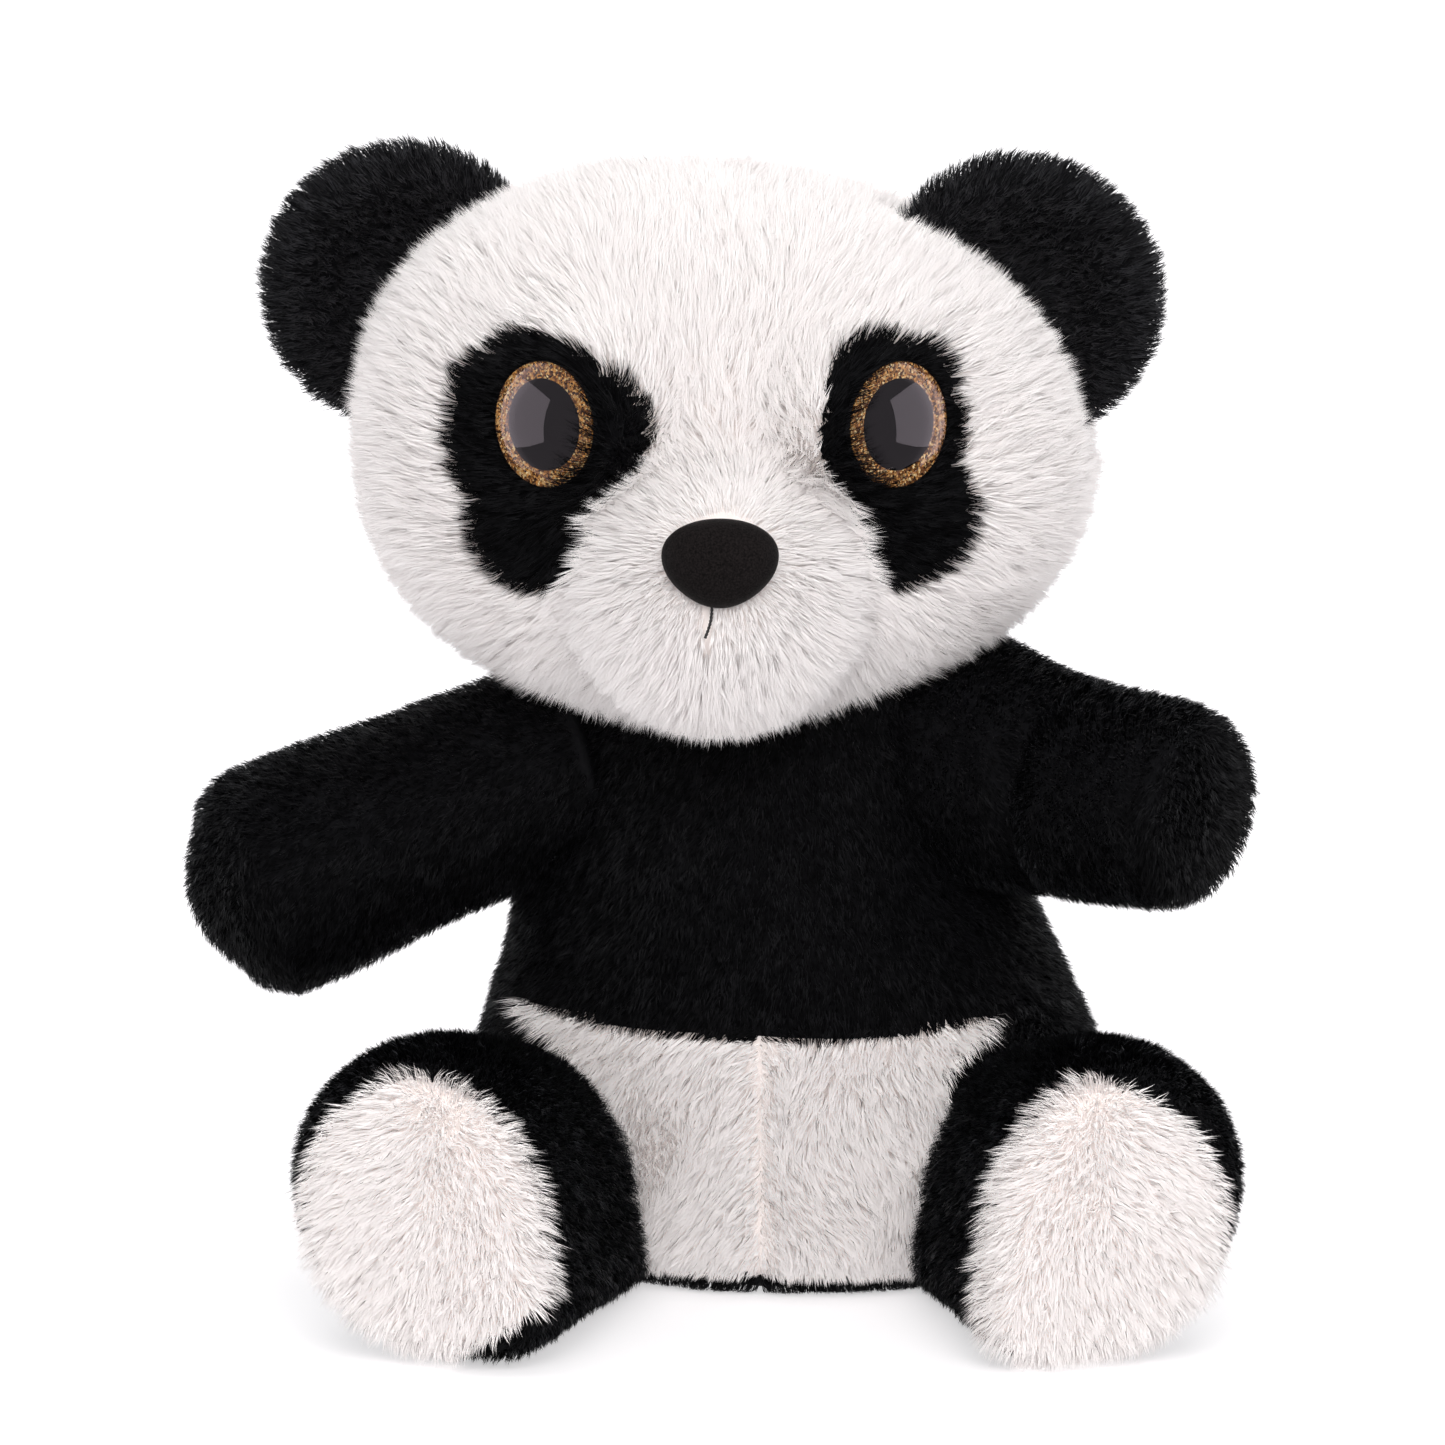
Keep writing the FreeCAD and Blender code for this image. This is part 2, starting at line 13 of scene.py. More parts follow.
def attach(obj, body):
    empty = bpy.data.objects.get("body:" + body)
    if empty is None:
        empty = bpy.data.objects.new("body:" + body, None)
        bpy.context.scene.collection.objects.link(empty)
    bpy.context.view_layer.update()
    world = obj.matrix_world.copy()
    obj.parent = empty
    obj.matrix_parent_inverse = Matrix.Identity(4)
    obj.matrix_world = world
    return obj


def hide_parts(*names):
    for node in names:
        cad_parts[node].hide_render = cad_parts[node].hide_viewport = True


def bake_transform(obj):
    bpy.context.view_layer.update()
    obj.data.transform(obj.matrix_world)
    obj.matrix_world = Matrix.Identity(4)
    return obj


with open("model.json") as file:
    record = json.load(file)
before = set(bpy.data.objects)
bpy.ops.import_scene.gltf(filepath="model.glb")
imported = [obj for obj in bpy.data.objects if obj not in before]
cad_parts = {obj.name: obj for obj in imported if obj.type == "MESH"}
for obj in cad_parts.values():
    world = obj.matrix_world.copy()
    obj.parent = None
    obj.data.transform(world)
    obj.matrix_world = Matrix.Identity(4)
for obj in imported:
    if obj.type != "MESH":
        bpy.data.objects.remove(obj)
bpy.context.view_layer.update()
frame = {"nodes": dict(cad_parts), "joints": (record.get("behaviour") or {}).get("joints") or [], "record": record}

MM = 0.001
UP = np.array([0.0, 0.0, 1.0])
FLOOR_CLEAR = 0.4 * MM
STRANDS_PER_PIECE = 60000

WHITE_PILE = 9.0 * MM
MUZZLE_PILE = 8.0 * MM
PATCH_PILE = 6.0 * MM
BLACK_PILE = 4.4 * MM
EAR_PILE = 4.8 * MM
SOLE_PILE = 7.0 * MM
BELLY_PILE = 8.0 * MM


# ---- numbers and vectors

def unit(v):
    return v / np.maximum(np.linalg.norm(v, axis=-1, keepdims=True), 1e-12)


def dot(a, b):
    return (a * b).sum(-1, keepdims=True)


def combed(flow, normals):
    """A flow laid along the surface."""
    return unit(flow - dot(flow, normals) * normals)


def smooth(low, high, x):
    """0 below low, 1 above high and an even step between them."""
    t = np.clip((x - low) / (high - low), 0, 1)
    return t * t * (3 - 2 * t)


def vertex_points(mesh):
    flat = np.empty(len(mesh.vertices) * 3, np.float32)
    mesh.vertices.foreach_get("co", flat)
    return flat.reshape(-1, 3).astype(float)


def node_points(*names):
    """Every vertex of some CAD nodes."""
    return np.concatenate([vertex_points(frame["nodes"][name].data) for name in names])


def span(*names):
    """Lowest and highest corner of some CAD nodes together."""
    points = node_points(*names)
    return points.min(0), points.max(0)


def turned_about_z(vectors, degrees):
    angle = math.radians(degrees)
    x = vectors[:, 0] * math.cos(angle) - vectors[:, 1] * math.sin(angle)
    y = vectors[:, 0] * math.sin(angle) + vectors[:, 1] * math.cos(angle)
    return np.stack([x, y, vectors[:, 2]], 1)


def waves(points, size, seed):
    """Slow random waves over the surface, between about -1 and 1."""
    rng = np.random.default_rng(seed)
    total = np.zeros(len(points))
    for _ in range(6):
        direction = unit(rng.normal(size=3))
        pitch = 2 * math.pi / (size * rng.uniform(0.7, 1.5))
        total += np.sin(points @ direction * pitch + rng.uniform(0, 6.28))
    return total / 3.0


# ---- where things are

class Limb:
    """An arm or leg: its pivot, the direction it points, its length and the depth of its end panel."""

    def __init__(self, side, kind):
        joint_name = f"{side}_shoulder_swing" if kind == "arm" else f"{side}_hip_lift"
        joint = [j for j in frame["joints"] if j["name"] == joint_name][0]
        self.name = f"{side}_{kind}"
        end_panel = f"{side}_paw_cap" if kind == "arm" else f"{side}_sole"
        self.pivot = np.array(joint["pos_m"])
        low, high = span(end_panel)
        self.along = unit((low + high) / 2 - self.pivot)
        side = unit(np.cross(UP, self.along))
        self.axes = np.stack([self.along, side, np.cross(self.along, side)])
        distance = (node_points(end_panel) - self.pivot) @ self.along
        self.length = distance.max()
        self.cap = distance.max() - distance.min()

    def place(self, local):
        """From (along, side, top) to the frame."""
        return self.pivot + local @ self.axes

    def local(self, points):
        return (points - self.pivot) @ self.axes.T


class Eye:
    """A safety eye: the middle of its backing's face and the way it looks."""

    def __init__(self, side):
        pupil = node_points(f"{side}_eye_pupil")
        self.centre = (pupil.min(0) + pupil.max(0)) / 2
        thinnest = np.linalg.svd(pupil - pupil.mean(0), full_matrices=False)[2][2]
        self.look = unit(thinnest * -np.sign(thinnest[1]))
        self.radius = np.ptp(node_points(f"{side}_eye_iris")[:, 2]) / 2

    def outward(self, points):
        """How far points lie to the side of the eye that is away from the nose."""
        return (points - self.centre) @ unit(np.cross(UP, self.look)) * np.sign(self.centre[0])

    def depth_and_radius(self, points):
        offset = points - self.centre
        depth = offset @ self.look
        return depth, np.linalg.norm(offset - np.outer(depth, self.look), axis=1)


head_low, head_high = span("face_panel", "head_back_left", "head_back_right")
HEAD_SIZE = (head_high - head_low) / 2
HEAD_SIZE[1] = HEAD_SIZE[2]
HEAD_CENTRE = np.array([(head_low[0] + head_high[0]) / 2, head_high[1] - HEAD_SIZE[1],
                        (head_low[2] + head_high[2]) / 2])
SIDE_SEAM_Y = span("head_back_left")[0][1]

muzzle_low, muzzle_high = span("muzzle_panel")
MUZZLE_SIZE = (muzzle_high[0] - muzzle_low[0]) / 2
MUZZLE_CENTRE = np.array([(muzzle_low[0] + muzzle_high[0]) / 2, muzzle_low[1] + MUZZLE_SIZE,
                          muzzle_low[2] + MUZZLE_SIZE])

nose_low, nose_high = span("nose")
NOSE_DEPTH = 6.5 * MM
NOSE = np.array([(nose_low[0] + nose_high[0]) / 2, nose_low[1] + NOSE_DEPTH,
                 (nose_low[2] + nose_high[2]) / 2])
EYES = {side: Eye(side) for side in ("left", "right")}
SEAT = np.array(frame["record"]["mounts"][0]["pos_m"])
HEM_Z = span("chest_panel")[0][2]
TORSO_YAW = -8.0
BELLY_SEAM_X = 8.0 * MM
SEAM_HALF = 1.6 * MM
HEAD_INSET = 7.5 * MM
SWELL_HEAD = 2.2 * MM
SWELL_TORSO = 2.5 * MM
SWELL_LIMB = 1.8 * MM
FRAMES = 14


# ---- meshes

def ball_mesh(level):
    """Points and triangles of an even unit ball."""
    bm = bmesh.new()
    bmesh.ops.create_icosphere(bm, subdivisions=level, radius=1.0)
    points = np.array([v.co for v in bm.verts])
    tris = np.array([[v.index for v in f.verts] for f in bm.faces])
    bm.free()
    return points, tris


def add_object(name, data):
    obj = bpy.data.objects.new(name, data)
    bpy.context.scene.collection.objects.link(obj)
    return obj


def make_object(name, points, faces, materials, tones=None, normals=None):
    """A smooth mesh object from arrays of triangles or quads."""
    mesh = bpy.data.meshes.new(name)
    mesh.vertices.add(len(points))
    mesh.vertices.foreach_set("co", points.astype(np.float32).ravel())
    mesh.loops.add(faces.size)
    mesh.loops.foreach_set("vertex_index", faces.astype(np.int32).ravel())
    mesh.polygons.add(len(faces))
    mesh.polygons.foreach_set("loop_start", np.arange(0, faces.size, faces.shape[1], dtype=np.int32))
    for material in materials:
        mesh.materials.append(material)
    if tones is not None:
        mesh.polygons.foreach_set("material_index", tones.astype(np.int32))
    mesh.update(calc_edges=True)
    mesh.polygons.foreach_set("use_smooth", np.ones(len(faces), bool))
    if normals is not None:
        custom = mesh.attributes.new("custom_normal", "FLOAT_VECTOR", "POINT")
        custom.data.foreach_set("vector", normals.astype(np.float32).ravel())
    return add_object(name, mesh)


def crosses(points, tris):
    """Normal of each triangle, as long as twice its area."""
    a, b, c = (points[tris[:, i]] for i in range(3))
    return np.cross(b - a, c - a)


def vertex_normals(points, tris):
    face = crosses(points, tris)
    total = np.zeros_like(points)
    for i in range(3):
        np.add.at(total, tris[:, i], face)
    return unit(total)


def with_normals(points, tris):
    """Points, triangles turned to face outwards, and normals."""
    a, b, c = (points[tris[:, i]] - points.mean(0) for i in range(3))
    if (a * np.cross(b, c)).sum() < 0:
        tris = tris[:, ::-1]
    return points, tris, vertex_normals(points, tris)


def evaluated_points(obj):
    """Points of an object with its modifiers applied."""
    graph = bpy.context.evaluated_depsgraph_get()
    mesh = obj.evaluated_get(graph).to_mesh()
    points = vertex_points(mesh)
    obj.evaluated_get(graph).to_mesh_clear()
    return points


def stuff(points, tris, pinned, cap):
    """Fill a closed skin by cloth simulation: seams stay put and the fabric between them swells."""
    obj = make_object("stuffing", points, tris, [])
    pins = obj.vertex_groups.new(name="seams")
    pins.add([int(i) for i in np.flatnonzero(pinned)], 1.0, "REPLACE")
    cloth = obj.modifiers.new("cloth", "CLOTH")
    cloth.settings.use_pressure = True
    cloth.settings.uniform_pressure_force = 4.0
    cloth.settings.vertex_group_mass = "seams"
    cloth.settings.effector_weights.gravity = 0.0
    cloth.settings.quality = 4
    cloth.point_cache.frame_start = 1
    cloth.point_cache.frame_end = FRAMES
    for number in range(1, FRAMES + 1):
        bpy.context.scene.frame_set(number)
    swollen = evaluated_points(obj)
    bpy.data.objects.remove(obj)
    bpy.context.scene.frame_set(1)
    move = swollen - points
    length = np.linalg.norm(move, axis=1, keepdims=True)
    return points + move * np.minimum(1, cap / np.maximum(length, 1e-9))


def refine(points, tris):
    """Split each triangle in four at the middles of its edges, then even the points out a little."""
    pairs = np.sort(np.concatenate([tris[:, [0, 1]], tris[:, [1, 2]], tris[:, [2, 0]]]), axis=1)
    edges, which = np.unique(pairs, axis=0, return_inverse=True)
    middle = len(points) + which.reshape(3, -1).T
    points = np.concatenate([points, points[edges].mean(1)])
    a, b, c = tris.T
    ab, bc, ca = middle.T
    tris = np.concatenate([np.stack(t, 1) for t in ((a, ab, ca), (ab, b, bc), (ca, bc, c), (ab, bc, ca))])
    total = np.zeros_like(points)
    number = np.zeros(len(points))
    for first, second in ((0, 1), (1, 2), (2, 0)):
        np.add.at(total, tris[:, first], points[tris[:, second]])
        np.add.at(number, tris[:, first], 1)
    return points * 0.5 + total / number[:, None] * 0.5, tris


def capped_tube(directions, flat_share):
    """Ball points over a unit tube: place along it from 0 to 1, angle about it, and share of its radius."""
    along = directions[:, 0]
    angle = np.arctan2(directions[:, 2], directions[:, 1])
    edge = 1 - flat_share
    rim = math.sqrt(1 - edge * edge)
    share = np.minimum(1, np.sqrt(np.clip(1 - along * along, 0, 1)) / rim)
    place = np.clip(along / edge, -1, 1) * 0.5 + 0.5
    return place, angle, share


# ---- skins

def head_radius(directions, pile):
    """Distance from the middle of the head to its skin, and which of it is muzzle."""
    size = HEAD_SIZE + np.array([2.0, 1.0, 1.0]) * MM - pile
    chin = 1.9 + 4.2 * np.exp(-(directions[:, :1] / 0.4) ** 2)
    size = size + np.where(directions[:, 2:] < 0, chin, 0) * UP * MM
    power = 2.25
    flat = (np.abs(directions / size) ** power).sum(1) ** (-1 / power)
    for x, z, swell in ((-0.7, 0.7, 2.2), (0.75, 0.66, -2.8), (0.72, -0.69, -1.8)):
        flat = flat + smooth(0.7, 1.0, directions @ np.array([x, 0, z])) * swell * MM
    centre = MUZZLE_CENTRE - HEAD_CENTRE
    radius = MUZZLE_SIZE + 1 * MM - pile
    reach = directions @ centre
    inside = reach ** 2 - centre @ centre + radius ** 2
    puff = np.where(inside > 0, reach + np.sqrt(np.maximum(inside, 0)), 0)
    puff = np.where(reach > 0, puff, 0)
    soft = 9 * MM
    merged = 0.5 * (flat + puff + np.sqrt((flat - puff) ** 2 + soft ** 2)) - 0.12 * soft
    radius = np.where(puff > 0, merged, flat)
    nose_gap = np.linalg.norm(HEAD_CENTRE + directions * radius[:, None] - NOSE, axis=1)
    return radius + 4.4 * MM * (1 - smooth(9 * MM, 30 * MM, nose_gap)), puff - flat


def seat_eyes(points):
    """Press the skin flat behind each eye's backing."""
    for eye in EYES.values():
        depth, radius = eye.depth_and_radius(points)
        outer = smooth(-8 * MM, 10 * MM, eye.outward(points))
        fade = 22 * MM + 5 * MM * outer
        share = (1 - smooth(15.2 * MM - 0.2 * MM * outer, fade, radius)) * (depth > -25 * MM)
        points = points + np.outer(share * (-2.2 * MM - depth), eye.look)
    return points


def head_skin():
    """A ball head with a muzzle, puffed between its seams and pressed in behind the eyes."""
    directions, tris = ball_mesh(5)
    radius, puff = head_radius(directions, HEAD_INSET)
    points = HEAD_CENTRE + directions * radius[:, None]
    seam = np.abs(points[:, 1] - SIDE_SEAM_Y) < SEAM_HALF
    back_seam = (np.abs(points[:, 0] - HEAD_CENTRE[0]) < SEAM_HALF) & (points[:, 1] > SIDE_SEAM_Y)
    muzzle_seam = np.abs(puff) < 1.2 * MM
    points = stuff(points, tris, seam | back_seam | muzzle_seam, SWELL_HEAD)
    points = seat_eyes(points)
    return refine(points, tris)


# Height, centre x and y from the seat, half width and half depth of the torso's skin.
TORSO_RINGS = np.array([
    (0, 0, 0, 42, 32),
    (8, 1, -1, 53, 40),
    (28, 1, -2, 65, 43),
    (48, 0.5, -3, 66.5, 44),
    (72, -1.2, -5, 57.3, 42),
    (98, -5.8, -7, 50, 37),
    (118, -4, -9, 49, 32),
    (136, -2, -11, 42, 25),
]) * MM


def torso_skin():
    """The body, lofted through its rings and puffed between the side seams, the belly seam and the hem."""
    directions, tris = ball_mesh(5)
    place, angle, share = capped_tube(directions[:, [2, 0, 1]], 0.12)
    height = FLOOR_CLEAR * 3 + place * TORSO_RINGS[-1, 0]
    column = [np.interp(height, TORSO_RINGS[:, 0], TORSO_RINGS[:, i]) for i in range(1, 5)]
    wide, deep = np.cos(angle) * column[2] * share, np.sin(angle) * column[3] * share
    local = np.stack([wide, deep, np.zeros(len(share))], 1)
    points = turned_about_z(local, TORSO_YAW) + np.stack([column[0], column[1], height], 1)
    points[:, :2] += SEAT[:2]
    points[:, 2] += (1 - share ** 2) * 9 * MM * (place > 0.5)
    front = turned_about_z(points - SEAT, -TORSO_YAW)
    seam = np.abs(front[:, 1] + 4 * MM) < SEAM_HALF
    belly_seam = (np.abs(points[:, 0] - BELLY_SEAM_X) < SEAM_HALF) & (points[:, 2] < HEM_Z)
    hem = (np.abs(points[:, 2] - HEM_Z) < SEAM_HALF) & (front[:, 1] < -4 * MM)
    bottom = place < 0.02
    points = stuff(points, tris, seam | belly_seam | hem | bottom, SWELL_TORSO)
    points[:, 2] = np.maximum(points[:, 2], FLOOR_CLEAR * 2)
    return refine(points, tris)


LIMB_STATIONS = [0.0, 0.2, 0.45, 0.7, 0.9, 0.97, 1.0]
LIMB_RADII = {
    "left_arm": [26.0, 25.0, 22.5, 21.0, 20.2, 18.8, 17.0],
    "right_arm": [21.0, 21.0, 21.0, 22.8, 23.0, 20.0, 15.0],
    "left_leg": [20.0, 23.0, 26.5, 28.8, 28.5, 26.5, 23.0],
    "right_leg": [20.0, 23.0, 26.5, 28.8, 28.5, 26.5, 23.0],
}
LEG_SHIFT = {"right_leg": np.array([-1.5, 0, 1.4]) * MM, "left_leg": np.array([1.6, 0, 1.2]) * MM}


def limb_profile(limb, place):
    """Radius of the skin along a limb, from inside the torso to its blunt end."""
    return np.interp(place, LIMB_STATIONS, np.array(LIMB_RADII[limb.name]) * MM)


def limb_skin(limb):
    """A blunt tube, given the bends, bulges and creases of its own limb, and puffed between its seams."""
    directions, tris = ball_mesh(5)
    place, angle, share = capped_tube(directions, 0.12)
    inset = -12 * MM
    end = limb.length + (0.3 * MM if limb.name == "right_arm" else -4 * MM)
    bulge = 6.0 * MM if limb.name == "right_arm" else 2.0 * MM
    along = inset + place * (end - inset)
    profile = limb_profile(limb, place)
    radius = profile * share
    swell = bulge * (1 - share ** 2) * np.sign(place - 0.5)
    local = np.stack([along + swell, np.cos(angle) * radius, np.sin(angle) * radius], 1)
    if limb.name == "right_arm":
        local[:, 2] -= 2.6 * MM * smooth(0.25, 1.0, place)
    if "leg" in limb.name:
        local[:, 2] -= 29 * MM - np.maximum(profile, 20 * MM)
        side = 1 if limb.name == "right_leg" else -1
        inward = np.cos(angle) * side
        low_corner = smooth(0.2, 0.8, -np.sin(angle)) * smooth(0.0, 0.7, inward)
        local[:, 1] *= 1 - 0.14 * smooth(0.2, 1.0, inward) + 0.2 * low_corner
        local[:, 1] *= 0.97 if limb.name == "left_leg" else 1.0
        local[:, 2] *= 1 + 0.2 * low_corner
        local[:, 1] -= side * 0.16 * local[:, 2]
    if limb.name == "left_arm":
        local[:, 2] += 2.5 * MM * (1 - smooth(0.1, 0.5, place)) + 1.5 * MM * smooth(0.5, 1.0, place)
        crease = np.exp(-((along - 30 * MM) / (3.5 * MM)) ** 2) * smooth(-0.3, 0.6, -np.cos(angle))
        local[:, 1:] *= (1 - 0.13 * crease)[:, None]
    points = limb.place(local) + LEG_SHIFT.get(limb.name, 0.0) * smooth(0.2, 0.6, place)[:, None]
    side_seam = np.abs(local[:, 1]) < 1.2 * MM
    cap_seam = np.abs(along - (limb.length - limb.cap)) < 1.4 * MM
    points = stuff(points, tris, side_seam | cap_seam | (place < 0.1), SWELL_LIMB)
    points[:, 2] = np.maximum(points[:, 2], FLOOR_CLEAR * 3)
    return refine(points, tris)


EAR_SHIFT = {"left": (1.6, -10.0, 1.6), "right": (-1.6, 8.0, 0.4)}


class Ear:
    """A flat dome set into the head: its middle, its facing direction and its radius."""

    def __init__(self, side):
        front, back = node_points(f"{side}_ear_front"), node_points(f"{side}_ear_back")
        points = np.concatenate([front, back])
        facing = front.mean(0) - back.mean(0)
        facing[2] = 0
        self.name = f"{side}_ear"
        self.facing = unit(facing)
        self.radius = 31.5 * MM
        outward = 1 if side == "left" else -1
        self.across = unit(np.cross(UP, self.facing))
        if self.across[0] * outward < 0:
            self.across = -self.across
        reach = (points[:, 0] * outward).max() * outward
        self.centre = np.array([reach - outward * self.radius * abs(self.across[0]), 17 * MM,
                                points[:, 2].max() - self.radius])
        self.centre += np.array(EAR_SHIFT[side]) * MM
        self.root = unit(HEAD_CENTRE - self.centre)
        self.axes = np.stack([self.across, self.facing, UP])

    def place(self, local):
        """From (across, facing, up) to the frame."""
        return self.centre + local @ self.axes

    def local(self, points):
        return (points - self.centre) @ self.axes.T


def ear_skin(ear):
    """A thin round ear, dished at the front, with one fold towards its root."""
    directions, tris = ball_mesh(5)
    radius = ear.radius - 3.0 * MM
    local = directions * np.array([radius, 6.5 * MM, radius])
    rim = np.linalg.norm(directions[:, [0, 2]], axis=1)
    dish = (1 - smooth(0.25, 0.95, rim)) * 6.0 * MM
    local[:, 1] -= dish * (0.55 + 0.45 * np.sign(directions[:, 1]))
    root = np.array([ear.root @ ear.across, ear.root @ UP])
    sideways = local[:, 0] * root[1] - local[:, 2] * root[0]
    toward = local[:, 0] * root[0] + local[:, 2] * root[1]
    fold = np.exp(-((sideways + 3 * MM) / (3.2 * MM)) ** 2) * smooth(-12 * MM, 16 * MM, toward)
    local[:, 1] += fold * 3.5 * MM * (directions[:, 1] > 0)
    return refine(ear.place(local), tris)


LIMBS = {f"{side}_{kind}": Limb(side, kind) for side in ("left", "right") for kind in ("arm", "leg")}
EARS = {side: Ear(side) for side in ("left", "right")}
SKINS = {"head": with_normals(*head_skin()), "torso": with_normals(*torso_skin())}
SKINS.update({limb.name: with_normals(*limb_skin(limb)) for limb in LIMBS.values()})
SKINS.update({ear.name: with_normals(*ear_skin(ear)) for ear in EARS.values()})


# ---- materials

def shader(name, colour, rough):
    """A material with its Principled node, ready for more nodes."""
    material = bpy.data.materials.new(name)
    material.use_nodes = True
    principled = material.node_tree.nodes["Principled BSDF"]
    principled.inputs["Base Color"].default_value = (*colour, 1.0)
    principled.inputs["Roughness"].default_value = rough
    return material, material.node_tree, principled


def feed(tree, target, inputs):
    """Set inputs of a node, each to a value or linked from another node's output."""
    for key, value in inputs.items():
        if isinstance(value, bpy.types.NodeSocket):
            tree.links.new(value, target.inputs[key])
        else:
            target.inputs[key].default_value = value


def node(tree, kind, inputs=None, **settings):
    """A new shader node with its settings and inputs."""
    made = tree.nodes.new(f"ShaderNode{kind}")
    for key, value in settings.items():
        setattr(made, key, value)
    feed(tree, made, inputs or {})
    return made


def noise(tree, scale, detail=3.0):
    """Cloudy noise, from 0 to 1, fixed to the object."""
    place = node(tree, "TexCoord").outputs["Object"]
    return node(tree, "TexNoise", {"Scale": scale, "Detail": detail, "Vector": place}).outputs["Fac"]


def ranged(tree, source, low, high, start=0.3, end=0.7):
    """The source, from start to end, spread between low and high."""
    limits = {"From Min": start, "From Max": end, "To Min": low, "To Max": high}
    return node(tree, "MapRange", {"Value": source, **limits}).outputs["Result"]


def vector_math(tree, operation, *inputs):
    """The vector that an operation gives."""
    return node(tree, "VectorMath", dict(enumerate(inputs)), operation=operation).outputs["Vector"]


def colours(tree, source, stops):
    """Colours at places from 0 to 1, looked up by the source."""
    ramp = node(tree, "ValToRGB", {"Fac": source})
    marks = ramp.color_ramp.elements
    for mark, (place, colour) in zip(marks, (stops[0], stops[-1])):
        mark.position = place
        mark.color = colour
    for place, colour in stops[1:-1]:
        marks.new(place).color = colour
    return ramp.outputs["Color"]


def bump(tree, source, strength, distance):
    """A normal that stands up where the source is high."""
    inputs = {"Strength": strength, "Distance": distance, "Height": source}
    return node(tree, "Bump", inputs).outputs["Normal"]


def plush(name, colour, rough, sheen, sheen_colour, shine, painted_glow=0.0):
    """A soft fibre whose sheen comes and goes. The painted glow is painted light: an emission that stands in for
    the light that pale fibres pass to each other.
    """
    material, tree, principled = shader(name, colour, rough)
    principled.inputs["Specular IOR Level"].default_value = shine
    feed(tree, principled, {
        # Painted light: a warm white emission that lifts the shade in the pile.
        "Emission Color": (1.0, 0.93, 0.92, 1.0),
        "Emission Strength": painted_glow,
        "Sheen Roughness": 0.4,
        "Sheen Tint": (*sheen_colour, 1.0),
        "Sheen Weight": ranged(tree, noise(tree, 160.0), sheen * 0.5, sheen * 1.5),
        "Specular IOR Level": ranged(tree, noise(tree, 900.0, 5.0), shine * 0.6, shine * 1.4),
    })
    return material


def white_set(name, painted_glow):
    """Root and three tip tones of the white pile. The root tone is a little darker and pinker: painted shade deep
    in the pile.
    """
    white = (1.0, 0.97, 0.95)
    tones = [("root", (0.95, 0.905, 0.895), 0.8, 0.04),
             ("tip", (0.965, 0.93, 0.92), 0.7, 0.06),
             ("tip_bright", (0.97, 0.94, 0.93), 0.65, 0.08),
             ("tip_soft", (0.955, 0.915, 0.905), 0.75, 0.06)]
    return [plush(f"{name}_{part}", colour, rough, sheen, white, 0.2, painted_glow)
            for part, colour, rough, sheen in tones]


def black_set(name, lift):
    """Root and three tip tones of the black pile. The root tone, darker than most tips and with the least sheen
    and shine, is painted shade deep in the pile.
    """
    grey = (0.75, 0.78, 0.85)
    blue = 1.2
    tones = [("root", 0.0016, 0.75, 0.012, 0.05),
             ("tip", 0.0022, 0.5, 0.025, 0.11),
             ("tip_grey", 0.0038, 0.45, 0.04, 0.17),
             ("tip_deep", 0.0012, 0.55, 0.015, 0.08)]
    return [plush(f"{name}_{part}", (dark * lift, dark * lift, dark * lift * blue), rough, sheen * lift, grey,
                  shine * lift)
            for part, dark, rough, sheen, shine in tones]


def backing_cloth(name, colour, sheen):
    """The knitted backing under the pile."""
    return plush(name, colour, 0.85, sheen, colour, 0.15)


# ---- pile

def scatter(skin, per_mm2, rng):
    """Random places on a skin, so many to a square millimetre, with their normals."""
    points, tris, normals = skin
    area = np.linalg.norm(crosses(points, tris), axis=1)
    count = int(area.sum() / 2 / MM ** 2 * per_mm2)
    pick = rng.choice(len(tris), size=count, p=area / area.sum())
    u, v = rng.random((2, count))
    flip = u + v > 1
    u[flip], v[flip] = 1 - u[flip], 1 - v[flip]
    shares = np.stack([1 - u - v, u, v])
    where = sum(points[tris[pick, i]] * shares[i][:, None] for i in range(3))
    facing = sum(normals[tris[pick, i]] * shares[i][:, None] for i in range(3))
    return where, unit(facing)


def clumps(roots, size, rng):
    """Index of the nearest clump centre for each strand."""
    chosen = rng.choice(len(roots), size=max(1, len(roots) // size), replace=False)
    tree = kdtree.KDTree(len(chosen))
    for number, index in enumerate(chosen):
        tree.insert(roots[index], number)
    tree.balance()
    return chosen[np.array([tree.find(root)[1] for root in roots])]


# How pile grows: strands per square millimetre, their width, the lean of root and tip in degrees, strands
# to a tuft, how much a tuft gathers, how far tufts stray and how much each strand shades by itself.
Coat = namedtuple("Coat", "per_mm2 width lean tip_lean clump gather wild gloss")


